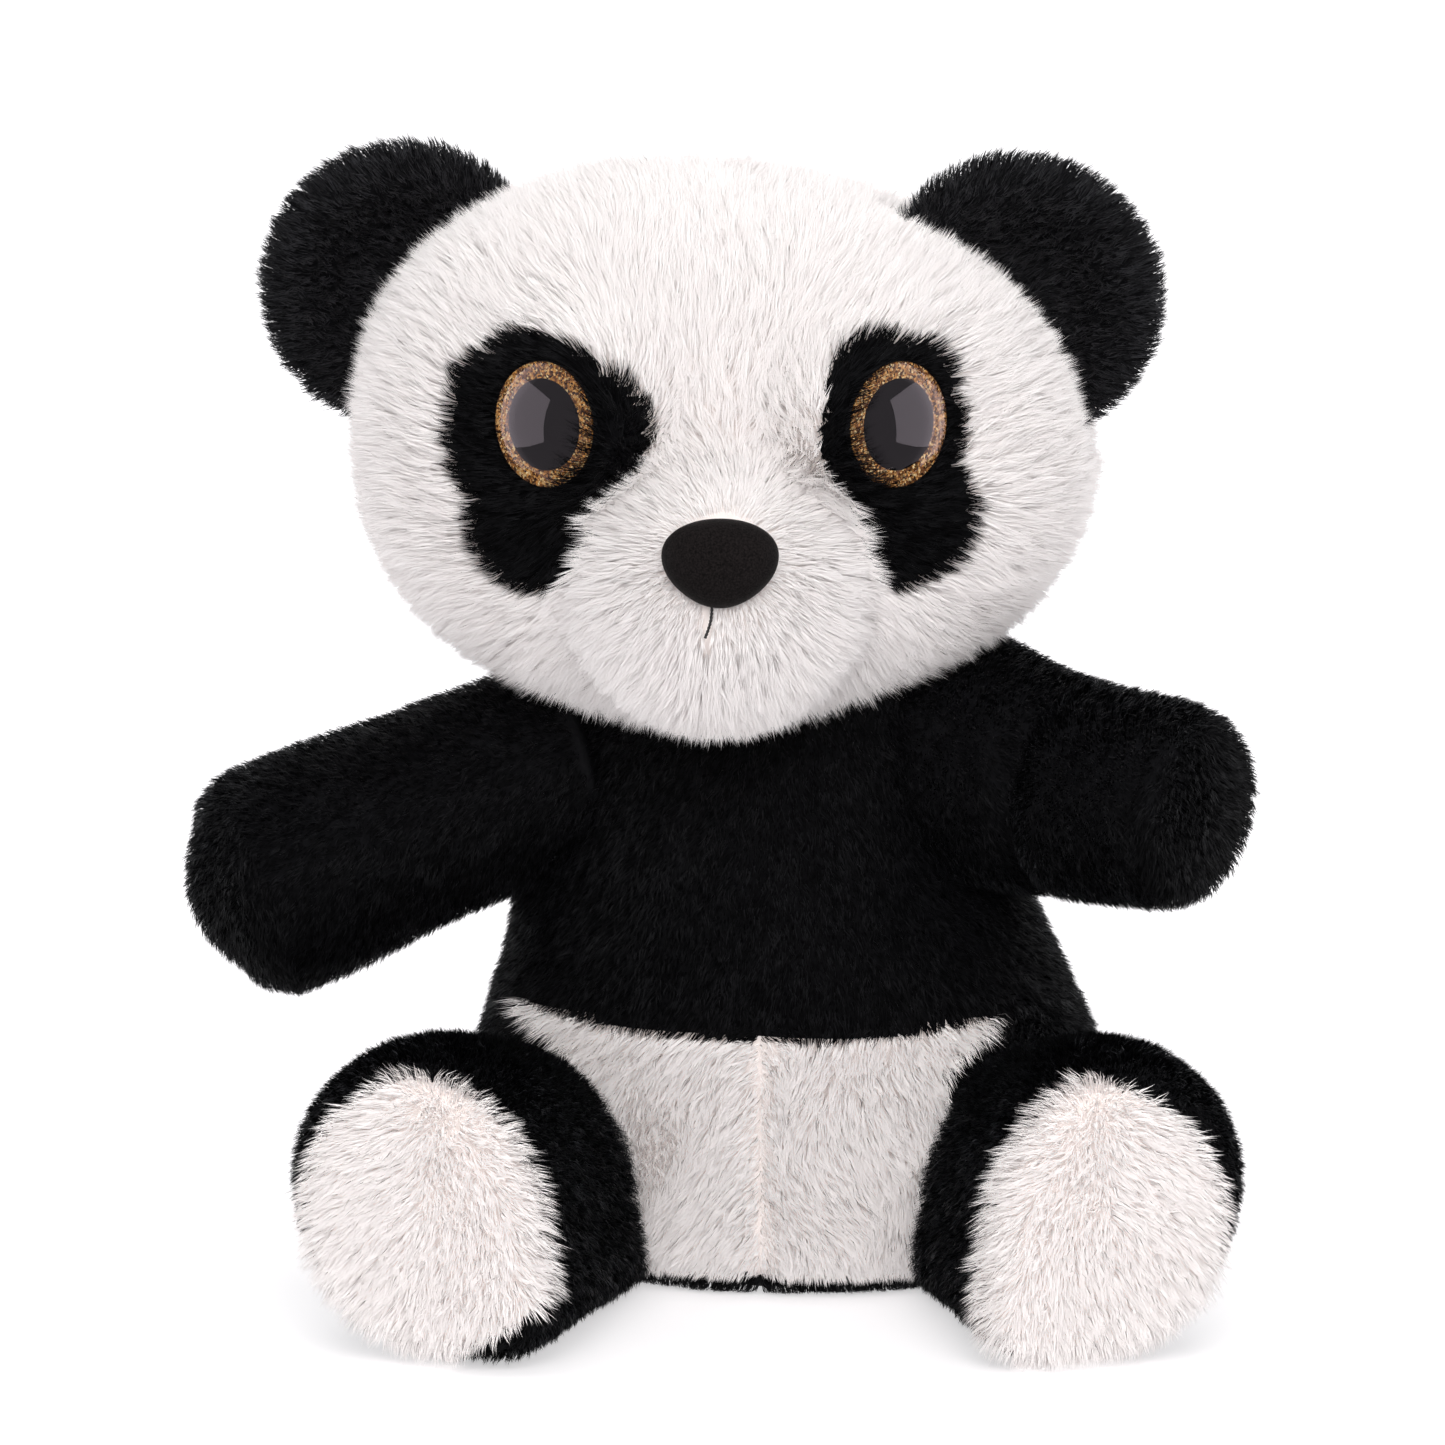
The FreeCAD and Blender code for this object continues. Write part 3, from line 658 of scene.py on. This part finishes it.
def strands(roots, normals, flow, lengths, coat, rng):
    """Tapered blades of three triangles each: points, triangles, normals and the clump of each."""
    count = len(roots)
    tuft = clumps(roots, coat.clump, rng)
    tuft_turn = rng.normal(0, coat.wild, (count, 3))[tuft]
    flow = flow + tuft_turn + rng.normal(0, coat.wild * 0.5, (count, 3))
    flow = combed(flow, normals)
    lean = np.radians(coat.lean + rng.normal(0, 7, count))[:, None]
    tip_lean = np.radians(coat.tip_lean + rng.normal(0, 9, count))[:, None]
    lengths = (lengths * rng.uniform(0.75, 1.1, count) * rng.uniform(0.85, 1.1, count)[tuft])[:, None]
    low = unit(normals * np.cos(lean) + flow * np.sin(lean))
    high = unit(normals * np.cos(tip_lean) + flow * np.sin(tip_lean))
    middle = roots + low * lengths * 0.5
    tip = middle + high * lengths * 0.5
    pull = (coat.gather * rng.uniform(0.5, 1.0, count))[:, None]
    tip = tip + (tip[tuft] - tip) * pull
    middle = middle + (middle[tuft] - middle) * pull * 0.4
    roll = rng.normal(0, 0.7, count)[:, None]
    across = unit(np.cross(tip - roots, normals))
    across = unit(across * np.cos(roll) + np.cross(unit(tip - roots), across) * np.sin(roll))
    facing = dot(np.cross(across, middle - roots), normals)
    across = np.where(facing < 0, -across, across)
    half = across * (coat.width * rng.uniform(0.7, 1.2, count) / 2)[:, None]
    start = roots - normals * 0.3 * MM
    points = np.stack([start - half, start + half, middle - half * 0.8, middle + half * 0.8, tip], 1)
    points[:, :, 2] = np.maximum(points[:, :, 2], FLOOR_CLEAR)
    base = (np.arange(count) * 5)[:, None]
    tris = np.stack([base + [0, 1, 3], base + [0, 3, 2], base + [2, 3, 4]], 1).reshape(-1, 3)
    shade = unit(normals - coat.gloss * dot(normals, high) * high + rng.normal(0, 0.08, (count, 3)))
    shade = np.repeat(shade[:, None, :], 5, 1)
    return points.reshape(-1, 3), tris, shade.reshape(-1, 3), tuft


def tones_of(tuft, rng):
    """Material slots of each strand's triangles: root tone, then a tip tone shared by most of its tuft."""
    shared = rng.integers(1, 4, len(tuft))[tuft]
    own = rng.integers(1, 4, len(tuft))
    tip = np.where(rng.random(len(tuft)) < 0.65, shared, own)
    # Half the strands have their lower part in the root tone, the painted shade deep in the pile.
    lower = np.where(rng.random(len(tuft)) < 0.5, 0, tip)
    return np.stack([lower, lower, tip], 1).ravel()


def grow(name, roots, normals, flow, lengths, coat, materials, seed, fasten):
    """Make the pile of one panel, in pieces of a manageable size."""
    rng = np.random.default_rng(seed)
    parts = max(1, math.ceil(len(roots) / STRANDS_PER_PIECE))
    order = np.argsort(roots[:, 2], kind="stable")
    for number, chosen in enumerate(np.array_split(order, parts)):
        points, tris, shade, tuft = strands(roots[chosen], normals[chosen], flow[chosen], lengths[chosen],
                                            coat, rng)
        label = f"{name}_pile" if parts == 1 else f"{name}_pile_{number + 1}"
        obj = make_object(label, points, tris, materials, tones_of(tuft, rng), shade)
        fasten(obj)


WHITE_COAT = Coat(6.0, 0.21 * MM, 24, 52, 14, 0.22, 0.22, 0.25)
PATCH_COAT = Coat(6.0, 0.22 * MM, 22, 50, 12, 0.25, 0.24, 0.6)
BLACK_COAT = Coat(4.0, 0.25 * MM, 26, 54, 10, 0.15, 0.26, 0.6)
SOLE_COAT = Coat(7.0, 0.19 * MM, 12, 32, 12, 0.15, 0.3, 0.2)
BLACK_SHARE = BLACK_COAT.per_mm2 / SOLE_COAT.per_mm2

WHITE = white_set("white", 0.03)
# Lit copies of the white pile for the belly and soles: their stronger glow is painted light in the shade between
# their upright strands.
BELLY_WHITE_LIT = white_set("belly_white", 0.10)
SOLE_WHITE_LIT = white_set("sole_white", 0.17)
BLACK = black_set("black", 1.35)
# The ears' pile is the black pile with a lift of 4 rather than 1.35: painted light that makes the ears lighter
# than the rest of the black pile.
EAR_BLACK_LIT = black_set("ear_black", 4.0)
WHITE_CLOTH = backing_cloth("white_backing", (0.86, 0.79, 0.76), 0.05)
BLACK_CLOTH = backing_cloth("black_backing", (0.006, 0.006, 0.007), 0.03)


WHITE_PANELS = {"face_panel", "muzzle_panel", "head_back_left", "head_back_right", "belly_panel_left",
                "belly_panel_right", "left_sole", "right_sole"}


def riding(body):
    """How a piece that keeps to one body is fastened."""
    return lambda obj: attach(obj, body)


def sew(skin, chooser, names, fasten, filling):
    """Make one padded object for each panel of a skin. The first also stands for what is inside."""
    points, tris, _ = skin
    which = chooser(points[tris].mean(1))
    for number, name in enumerate(names):
        used, again = np.unique(tris[which == number], return_inverse=True)
        cloth = WHITE_CLOTH if name in WHITE_PANELS else BLACK_CLOTH
        obj = make_object(f"{name}_skin", points[used], again.reshape(-1, 3), [cloth])
        fasten(obj)
        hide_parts(name)
        if number == 0:
            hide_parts(filling)


def sow(skin, chooser, names, per_mm2, black_share, bare, seed):
    """Roots of the pile, their normals and panels. None is left where bare, and on black only a share is."""
    rng = np.random.default_rng(seed)
    roots, normals = scatter(skin, per_mm2, rng)
    panel = chooser(roots)
    white = np.array([name in WHITE_PANELS for name in names])[panel]
    kept = ~bare(roots) & (rng.random(len(roots)) < np.where(white, 1.0, black_share))
    return roots[kept], normals[kept], panel[kept]


def cover(names, panel, roots, normals, flow, lengths, white, black, seed, fasten):
    """Grow each panel's pile, with the coat and tones for white or for black plush."""
    for number, name in enumerate(names):
        chosen = panel == number
        coat, tones = white if name in WHITE_PANELS else black
        grow(name, roots[chosen], normals[chosen], flow[chosen], lengths[chosen], coat, tones,
             seed + number, fasten)


# ---- head

HEAD_PANELS = ["face_panel", "head_back_left", "head_back_right", "muzzle_panel", "left_eye_patch",
               "right_eye_patch"]
PATCH_ROUNDS = {
    "right": [(-38.5, 188.0, 18.0), (-28.0, 191.5, 13.0), (-38.5, 171.0, 13.5), (-39.0, 200.5, 10.5),
              (-45.5, 196.0, 10.5), (-33.5, 197.0, 11.5)],
    "left": [(35.0, 190.5, 14.8), (32.3, 199.8, 10.8), (39.2, 173.5, 12.8), (38.5, 200.2, 9.3),
             (36.5, 168.5, 10.0)],
}


def in_patch(points, side):
    """True where a point of the face lies in one of the eye patch's overlapping rounds."""
    found = np.zeros(len(points), bool)
    for x, z, size in PATCH_ROUNDS[side]:
        found |= np.hypot(points[:, 0] - x * MM, points[:, 2] - z * MM) < size * MM
    return found & (points[:, 1] < SIDE_SEAM_Y)


def head_panel(points):
    """Number in HEAD_PANELS of the panel that each point lies on."""
    directions = unit(points - HEAD_CENTRE)
    _, puff = head_radius(directions, HEAD_INSET)
    which = np.where(points[:, 1] < SIDE_SEAM_Y, 0, np.where(points[:, 0] > HEAD_CENTRE[0], 1, 2))
    which = np.where(in_patch(points, "left"), 4, which)
    which = np.where(in_patch(points, "right"), 5, which)
    muzzle = puff > np.where(which > 3, 3.0 * MM, 0.0)
    return np.where(muzzle & (points[:, 1] < SIDE_SEAM_Y), 3, which)


def head_flow(points, normals):
    """Away from the nose over the face and crown, then down the back of the head."""
    away = points - (NOSE + np.array([0, 6 * MM, 2 * MM]))
    away = combed(away, normals)
    down = combed(np.broadcast_to(-UP, normals.shape), normals)
    share = smooth(5 * MM, 55 * MM, points[:, 1])[:, None] * 0.85
    swirl = np.stack([waves(points, 30 * MM, seed) for seed in (31, 32, 33)], 1) * 0.3
    return unit(away * (1 - share) + down * share + swirl)


def head_lengths(points, panel):
    """Longer on the crown and cheeks, shorter round the nose and beside the eyes."""
    nose_gap = np.linalg.norm(points - NOSE, axis=1)
    length = np.where(panel == 3, MUZZLE_PILE, WHITE_PILE)
    length = length * (0.45 + 0.55 * smooth(11 * MM, 26 * MM, nose_gap))
    length = np.where((panel == 4) | (panel == 5), PATCH_PILE, length)
    beside = EARS["left"].local(points)
    under_ear = np.hypot(beside[:, 0], beside[:, 2]) < 36 * MM
    near = (1 - smooth(5 * MM, 14 * MM, np.abs(beside[:, 1]))) * under_ear
    length = length * (1 - 0.45 * near)
    for eye in EYES.values():
        _, radius = eye.depth_and_radius(points)
        near = 1 - smooth(13 * MM, 19 * MM, radius)
        inner = 1 - smooth(-9 * MM, 1 * MM, eye.outward(points))
        length = length * (1 - 0.4 * near * (1 - inner) + 0.75 * near * inner)
    return length


def under_face_parts(points):
    """True under the eyes, the nose and the mouth thread."""
    front_y = -40 * MM
    nose = np.hypot((points[:, 0] - NOSE[0]) / (12 * MM), (points[:, 2] - NOSE[2]) / (9.3 * MM))
    low, high = span("mouth_thread")
    beside = np.abs(points[:, 0] - (low[0] + high[0]) / 2) < 0.8 * MM
    level = (points[:, 2] > low[2] - 1 * MM) & (points[:, 2] < high[2] + 3 * MM)
    under = ((nose < 0.8) | (beside & level)) & (points[:, 1] < front_y)
    for eye in EYES.values():
        depth, radius = eye.depth_and_radius(points)
        under |= (radius < eye.radius + 0.2 * MM) & (depth > -20 * MM)
    return under


def build_head():
    """Panels and pile of the head, dense on the eye patches too."""
    skin = SKINS["head"]
    fasten = riding("head")
    sew(skin, head_panel, HEAD_PANELS, fasten, "head_filling")
    roots, normals, panel = sow(skin, head_panel, HEAD_PANELS, WHITE_COAT.per_mm2, 1.0, under_face_parts, 11)
    flow = head_flow(roots, normals)
    lengths = head_lengths(roots, panel)
    cover(HEAD_PANELS, panel, roots, normals, flow, lengths, (WHITE_COAT, WHITE), (PATCH_COAT, BLACK),
          100, fasten)


def build_ear(side, seed):
    """Panels and pile of an ear, whose flow runs away from its root."""
    ear = EARS[side]
    skin = SKINS[ear.name]
    names = [f"{side}_ear_front", f"{side}_ear_back"]
    fasten = riding("head")

    def chooser(points):
        return np.where(ear.local(points)[:, 1] > 0, 0, 1)

    def bare(points):
        return np.zeros(len(points), bool)

    sew(skin, chooser, names, fasten, f"{side}_ear_wadding")
    roots, normals, panel = sow(skin, chooser, names, PATCH_COAT.per_mm2, 1.0, bare, seed)
    away = roots - (ear.centre + ear.root * ear.radius * 1.1)
    flow = combed(away, normals)
    lengths = np.full(len(roots), EAR_PILE)
    cover(names, panel, roots, normals, flow, lengths, None, (BLACK_COAT, EAR_BLACK_LIT), seed, fasten)


# ---- torso

TORSO_PANELS = ["chest_panel", "belly_panel_left", "belly_panel_right", "back_panel_left",
                "back_panel_right", "seat_gusset"]


def hem_height(points):
    """The chest hem, rising towards the sides."""
    aside = np.clip(np.abs(points[:, 0] - BELLY_SEAM_X) / (50 * MM), 0, 1.3)
    return HEM_Z - 3.0 * MM + 3.5 * MM * aside ** 2


def torso_panel(points):
    """Number in TORSO_PANELS of the panel that each point lies on."""
    front = turned_about_z(points - SEAT, -TORSO_YAW)
    left = points[:, 0] > BELLY_SEAM_X
    which = np.where(left, 3, 4)
    ahead = front[:, 1] < -6 * MM - 17 * MM * smooth(15 * MM, 55 * MM, points[:, 0])
    under = points[:, 2] < hem_height(points)
    drop = HEM_Z + 1.5 * MM - points[:, 2]
    half_width = 51.5 * MM - np.clip(drop, 0, 12 * MM)
    belly = under & (np.abs(points[:, 0] - BELLY_SEAM_X) < half_width)
    which = np.where(ahead & ~under, 0, which)
    which = np.where(ahead & belly, np.where(left, 1, 2), which)
    return np.where(points[:, 2] < 5 * MM, 5, which)


def torso_flow(points, normals):
    """Down, parted at the belly's seam and a little tousled."""
    from_seam = points[:, 0] - BELLY_SEAM_X
    belly = (points[:, 2] < HEM_Z) & (points[:, 1] < SEAT[1])
    parting = np.sign(from_seam) * (1 - smooth(0, 9 * MM, np.abs(from_seam))) * 1.6 * belly
    swirl = np.stack([waves(points, 26 * MM, seed) for seed in (41, 42, 43)], 1)
    field = swirl * np.where(belly, 0.55, 0.12)[:, None] - UP * np.where(belly, 0.7, 1.0)[:, None]
    field[:, 0] += parting
    return combed(field, normals)


def belly_lengths(points):
    """Shorter beside the seam and above the floor."""
    from_seam = np.abs(points[:, 0] - BELLY_SEAM_X)
    beside_seam = 0.45 + 0.55 * smooth(0, 5 * MM, from_seam)
    return BELLY_PILE * beside_seam * (0.35 + 0.65 * smooth(4 * MM, 15 * MM, points[:, 2]))


def build_torso():
    """Panels and pile of the torso."""
    skin = SKINS["torso"]
    fasten = riding("torso")

    def bare(points):
        return points[:, 2] <= 1.5 * MM

    sew(skin, torso_panel, TORSO_PANELS, fasten, "torso_filling")
    roots, normals, panel = sow(skin, torso_panel, TORSO_PANELS, SOLE_COAT.per_mm2, BLACK_SHARE, bare, 21)
    flow = torso_flow(roots, normals)
    lengths = np.where((panel == 1) | (panel == 2), belly_lengths(roots), BLACK_PILE)
    cover(TORSO_PANELS, panel, roots, normals, flow, lengths, (SOLE_COAT, BELLY_WHITE_LIT), (BLACK_COAT, BLACK),
          200, fasten)


# ---- limbs

def limb_names(limb):
    """Panels of a limb: the half on its local +side, the other half, and its end."""
    side, kind = limb.name.split("_")
    halves, end = (["front", "back"], "paw_cap") if kind == "arm" else (["inner", "outer"], "sole")
    order = halves if side == "right" else halves[::-1]
    return [f"{side}_{kind}_{half}" for half in order] + [f"{side}_{end}"]


# Depth of each sole's edge, its radius, and how far its middle lies to the side of and below the leg's axis.
SOLES = {"left": (10.5 * MM, 29.0 * MM, -4.6 * MM, 2.4 * MM), "right": (9.0 * MM, 28.0 * MM, 1.8 * MM, 0.0)}


def build_limb(side, kind, seed):
    """Panels and pile of an arm or leg."""
    limb = LIMBS[f"{side}_{kind}"]
    skin = SKINS[limb.name]
    names = limb_names(limb)
    sole_depth, sole_rim, sole_middle, sole_drop = SOLES[side]
    edge = limb.length - (limb.cap if kind == "arm" else sole_depth)

    def chooser(points):
        local = limb.local(points)
        halves = np.where(local[:, 1] > 0, 0, 1)
        if kind == "leg":
            rim = np.hypot(local[:, 1] - sole_middle, local[:, 2] + sole_drop)
            return np.where((local[:, 0] > edge) & (rim < sole_rim), 2, halves)
        return np.where(local[:, 0] > edge, 2, halves)

    def bend(obj):
        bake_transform(obj)

    def bare(points):
        return limb.local(points)[:, 0] <= -11 * MM

    sew(skin, chooser, names, bend, f"{limb.name}_filling")
    roots, normals, panel = sow(skin, chooser, names, SOLE_COAT.per_mm2, BLACK_SHARE, bare, seed)
    field = np.broadcast_to(limb.along, roots.shape) - 0.45 * UP
    outward = roots - (limb.pivot + np.outer(limb.local(roots)[:, 0], limb.along))
    field = np.where((panel == 2)[:, None], unit(outward) * 0.6 - 0.8 * UP, field)
    flow = combed(field, normals)
    lengths = np.where((panel == 2) & (kind == "leg"), SOLE_PILE, BLACK_PILE * 0.95)
    cover(names, panel, roots, normals, flow, lengths, (SOLE_COAT, SOLE_WHITE_LIT), (BLACK_COAT, BLACK),
          seed, bend)


# ---- face parts

def flock():
    """Short dark flocking with a fine grain."""
    material, tree, principled = shader("flock", (0.018, 0.0155, 0.014), 0.75)
    grain = noise(tree, 2600.0, 4.0)
    feed(tree, principled, {
        "Sheen Weight": 0.05,
        "Sheen Roughness": 0.35,
        "Sheen Tint": (0.5, 0.46, 0.43, 1),
        "Specular IOR Level": 0.12,
        "Base Color": colours(tree, grain, [(0.35, (0.002, 0.0017, 0.0016, 1)),
                                            (0.75, (0.014, 0.011, 0.011, 1))]),
        "Normal": bump(tree, grain, 0.6, 0.15 * MM),
    })
    return material


def on_head(obj, node_name):
    """A small part of the face in place of its CAD node."""
    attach(obj, "head")
    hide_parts(node_name)


def build_nose():
    """A rounded, upside-down triangle, flocked."""
    directions, tris = ball_mesh(6)
    across, height, depth = 12.1 * MM, 9.3 * MM, 6.8 * MM
    taper = 1.02 + 0.19 * directions[:, 2] - 0.08 * directions[:, 2] ** 2
    square = np.abs(directions) ** 0.95 * np.sign(directions)
    local = np.stack([square[:, 0] * across * taper * 0.97, square[:, 1] * depth, square[:, 2] * height], 1)
    centre = np.array([NOSE[0], NOSE[1] - 0.5 * MM, NOSE[2] - 0.9 * MM])
    obj = make_object("nose_flocked", centre + local, tris, [flock()])
    on_head(obj, "nose")


def thread_material():
    """Twisted black yarn."""
    material, tree, principled = shader("mouth_yarn", (0.012, 0.011, 0.011), 0.6)
    twist = noise(tree, 1800.0, 4.0)
    feed(tree, principled, {"Sheen Weight": 0.2, "Normal": bump(tree, twist, 0.5, 0.1 * MM)})
    return material


def build_mouth():
    """The short stitched line under the nose: two plies twisted together."""
    low, high = span("mouth_thread")
    top = np.array([high[0] - 0.4 * MM, low[1] + 0.4 * MM, high[2] + 2.5 * MM])
    bottom = np.array([low[0] + 0.8 * MM, low[1] + 1.8 * MM, low[2] + 3.0 * MM])
    curve = bpy.data.curves.new("mouth_line", "CURVE")
    curve.dimensions = "3D"
    curve.bevel_depth = 0.2 * MM
    curve.bevel_resolution = 4
    steps, turns, ply_gap = 40, 5, 0.16 * MM
    for ply in range(2):
        spline = curve.splines.new("POLY")
        spline.points.add(steps - 1)
        for number in range(steps):
            share = number / (steps - 1)
            bow = math.sin(share * math.pi) * 0.9 * MM
            angle = share * turns * 2 * math.pi + ply * math.pi
            spot = top + (bottom - top) * share
            spot[:2] += (math.cos(angle) * ply_gap + bow * 0.5, math.sin(angle) * ply_gap - bow)
            spline.points[number].co = (*spot, 1)
    obj = add_object("mouth_stitch", curve)
    curve.materials.append(thread_material())
    on_head(obj, "mouth_thread")


def build_lens(side, material):
    """A clear cap that rises from the rim of the iris to the tip of the lens."""
    eye = EYES[side]
    depth, radius = eye.depth_and_radius(node_points(f"{side}_eye_lens"))
    foot, tip = depth.min() + 0.1 * MM, depth.max()
    rise = tip - foot
    ball = (radius.max() ** 2 + rise ** 2) / (2 * rise)
    directions, tris = ball_mesh(6)
    bow = np.arcsin(radius.max() / ball)
    lean = np.clip(np.arccos(np.clip(directions[:, 2], -1, 1)), 0, math.pi / 2) * bow / (math.pi / 2)
    around = np.arctan2(directions[:, 1], directions[:, 0])
    across = ball * np.sin(lean) * np.where(directions[:, 2] < 0, np.sqrt(1 - directions[:, 2] ** 2), 1)
    height = np.where(directions[:, 2] < 0, 0, ball * np.cos(lean) - (ball - rise))
    sideways = unit(np.cross(UP, eye.look))
    points = eye.centre + np.outer(foot + height, eye.look)
    points = points + np.outer(across * np.cos(around), sideways) + np.outer(across * np.sin(around), UP)
    obj = make_object(f"{side}_eye_dome", *with_normals(points, tris)[:2], [material])
    on_head(obj, f"{side}_eye_lens")


def clear_dome():
    """Clear plastic that lets light through and mirrors its surroundings."""
    material = bpy.data.materials.new("eye_dome")
    material.use_nodes = True
    tree = material.node_tree
    tree.nodes.remove(tree.nodes["Principled BSDF"])
    clear = node(tree, "BsdfTransparent", {"Color": (0.97, 0.965, 0.97, 1)}).outputs["BSDF"]
    gloss = node(tree, "BsdfGlossy", {"Roughness": 0.03, "Color": (1.0, 0.88, 0.97, 1)}).outputs["BSDF"]
    mirror = node(tree, "Fresnel", {"IOR": 1.95}).outputs["Fac"]
    inside = node(tree, "NewGeometry").outputs["Backfacing"]
    outer = node(tree, "Math", {0: mirror, 1: inside}, operation="SUBTRACT", use_clamp=True).outputs["Value"]
    mix = node(tree, "MixShader", {0: outer, 1: clear, 2: gloss}).outputs["Shader"]
    feed(tree, tree.nodes["Material Output"], {"Surface": mix})
    return material


def glitter():
    """Gold and copper flakes, each tilted its own way."""
    material, tree, principled = shader("eye_glitter", (0.6, 0.3, 0.1), 0.25)
    place = node(tree, "TexCoord").outputs["Object"]
    flakes = node(tree, "TexVoronoi", {"Scale": 2300.0, "Vector": place}).outputs["Color"]
    own = node(tree, "SeparateColor", {"Color": flakes}).outputs["Red"]
    metal = colours(tree, own, [(0.0, (0.03, 0.01, 0.003, 1)), (0.4, (0.22, 0.08, 0.02, 1)),
                                (0.75, (0.75, 0.36, 0.09, 1)), (1.0, (1.0, 0.8, 0.42, 1))])
    level = node(tree, "NewGeometry").outputs["Normal"]
    centred = vector_math(tree, "SUBTRACT", flakes, (0.5, 0.5, 0.5))
    tilt = vector_math(tree, "MULTIPLY_ADD", centred, (0.9, 0.9, 0.9), level)
    facing = vector_math(tree, "NORMALIZE", tilt)
    feed(tree, principled, {"Metallic": 0.6, "Base Color": metal, "Normal": facing})
    return material


def smooth_plastic(name, colour, rough, shine=0.5):
    """Moulded plastic with a faint orange peel."""
    material, tree, principled = shader(name, colour, rough)
    peel = noise(tree, 700.0, 2.0)
    feed(tree, principled, {"Specular IOR Level": ranged(tree, peel, shine * 0.8, shine * 1.1)})
    return material


def paint_nodes():
    """Materials of the CAD nodes that stay."""
    plans = {
        "iris": glitter(),
        "pupil": smooth_plastic("eye_pupil", (0.002, 0.002, 0.0025), 0.7, 0.05),
        "backing": smooth_plastic("eye_backing", (0.02, 0.02, 0.022), 0.35),
        "washer": smooth_plastic("lock_washer", (0.7, 0.7, 0.7), 0.45),
        "thread": thread_material(),
        "bag": backing_cloth("bag_cloth", (0.7, 0.7, 0.66), 0.1),
    }
    for name, obj in frame["nodes"].items():
        kind = name.split("_")[-1]
        if kind in plans and not obj.hide_render:
            obj.data.materials.clear()
            obj.data.materials.append(plans[kind])


# ---- stage, light and camera

def build_floor():
    """A pale studio floor, lit from below so that it stays white far from the toy."""
    material, tree, principled = shader("studio_floor", (0.62, 0.61, 0.62), 0.6)
    place = node(tree, "TexCoord").outputs["Object"]
    gap = node(tree, "VectorMath", {0: place}, operation="LENGTH").outputs["Value"]
    feed(tree, principled, {
        "Emission Color": (1.0, 0.99, 1.0, 1.0),
        "Emission Strength": ranged(tree, gap, 0.56, 1.0, 0.15, 0.9),
        "Specular IOR Level": ranged(tree, noise(tree, 40.0, 2.0), 0.1, 0.2),
    })
    reach = 20.0
    front = -0.5
    corners = np.array([(-reach, front, 0), (reach, front, 0), (reach, reach, 0), (-reach, reach, 0)])
    floor = make_object("floor", corners, np.array([[0, 1, 2, 3]]), [material])
    floor.visible_glossy = False


def softbox(name, place, size, power, colour, mirrored=False):
    """A soft light aimed at the middle of the toy. A mirrored one is only seen as a reflection."""
    light = bpy.data.lights.new(name, "AREA")
    light.shape = "RECTANGLE"
    light.size, light.size_y = size
    light.energy = power
    light.color = colour
    obj = add_object(name, light)
    obj.location = place
    direction = Vector((0, 0, 0.12)) - obj.location
    obj.rotation_euler = direction.to_track_quat("-Z", "Y").to_euler()
    obj.visible_glossy = mirrored
    obj.visible_diffuse = not mirrored


def build_lights():
    """Two side boxes, two windows for the eyes to mirror, a key, a top box and a pale room."""
    softbox("left_box", (-1.5, 0.1, 0.5), (1.7, 1.7), 4.6, (1.0, 0.985, 1.0))
    softbox("right_box", (1.5, 0.1, 0.5), (1.7, 1.7), 6.0, (0.99, 0.985, 1.0))
    softbox("left_window", (-1.5, -0.3, 0.35), (2.4, 2.2), 11.0, (1.0, 0.985, 1.0), mirrored=True)
    softbox("right_window", (1.5, -0.4, 0.35), (2.4, 2.2), 12.0, (0.99, 0.985, 1.0), mirrored=True)
    softbox("key_box", (0.05, -1.9, 1.15), (1.6, 1.2), 42.0, (1.0, 0.99, 0.985))
    softbox("top_box", (0.0, 0.0, 1.8), (1.4, 1.4), 12.0, (1.0, 1.0, 1.0))
    world = bpy.data.worlds.new("studio")
    bpy.context.scene.world = world
    world.use_nodes = True
    tree = world.node_tree
    place = node(tree, "TexCoord").outputs["Generated"]
    behind = node(tree, "SeparateXYZ", {"Vector": place}).outputs["Y"]
    seen = node(tree, "LightPath").outputs["Is Camera Ray"]
    strength = node(tree, "Mix", {"Factor": seen, "A": ranged(tree, behind, 0.2, 1.0, 0.0, 0.9), "B": 1.0})
    feed(tree, tree.nodes["Background"], {
        "Strength": strength.outputs["Result"],
        "Color": (0.985, 0.985, 1.0, 1),
    })


def build_camera():
    """A long lens, a little above the toy, straight in front of it."""
    distance = 2.2
    frame_width = 307.8 * MM
    lift = math.radians(9)
    data = bpy.data.cameras.new("camera")
    data.sensor_width = 36.0
    data.lens = 36.0 * distance / frame_width
    data.clip_end = 60.0
    camera = add_object("camera", data)
    camera.location = (0, -distance * math.cos(lift), 124.4 * MM + distance * math.sin(lift))
    camera.rotation_euler = (math.pi / 2 - lift, 0, 0)
    bpy.context.scene.camera = camera
    bpy.context.scene.view_settings.view_transform = "Standard"


build_head()
build_ear("left", 300)
build_ear("right", 310)
build_torso()
build_limb("left", "arm", 400)
build_limb("right", "arm", 410)
build_limb("left", "leg", 420)
build_limb("right", "leg", 430)
build_nose()
build_mouth()
DOME = clear_dome()
build_lens("left", DOME)
build_lens("right", DOME)
paint_nodes()
build_floor()
build_lights()
build_camera()
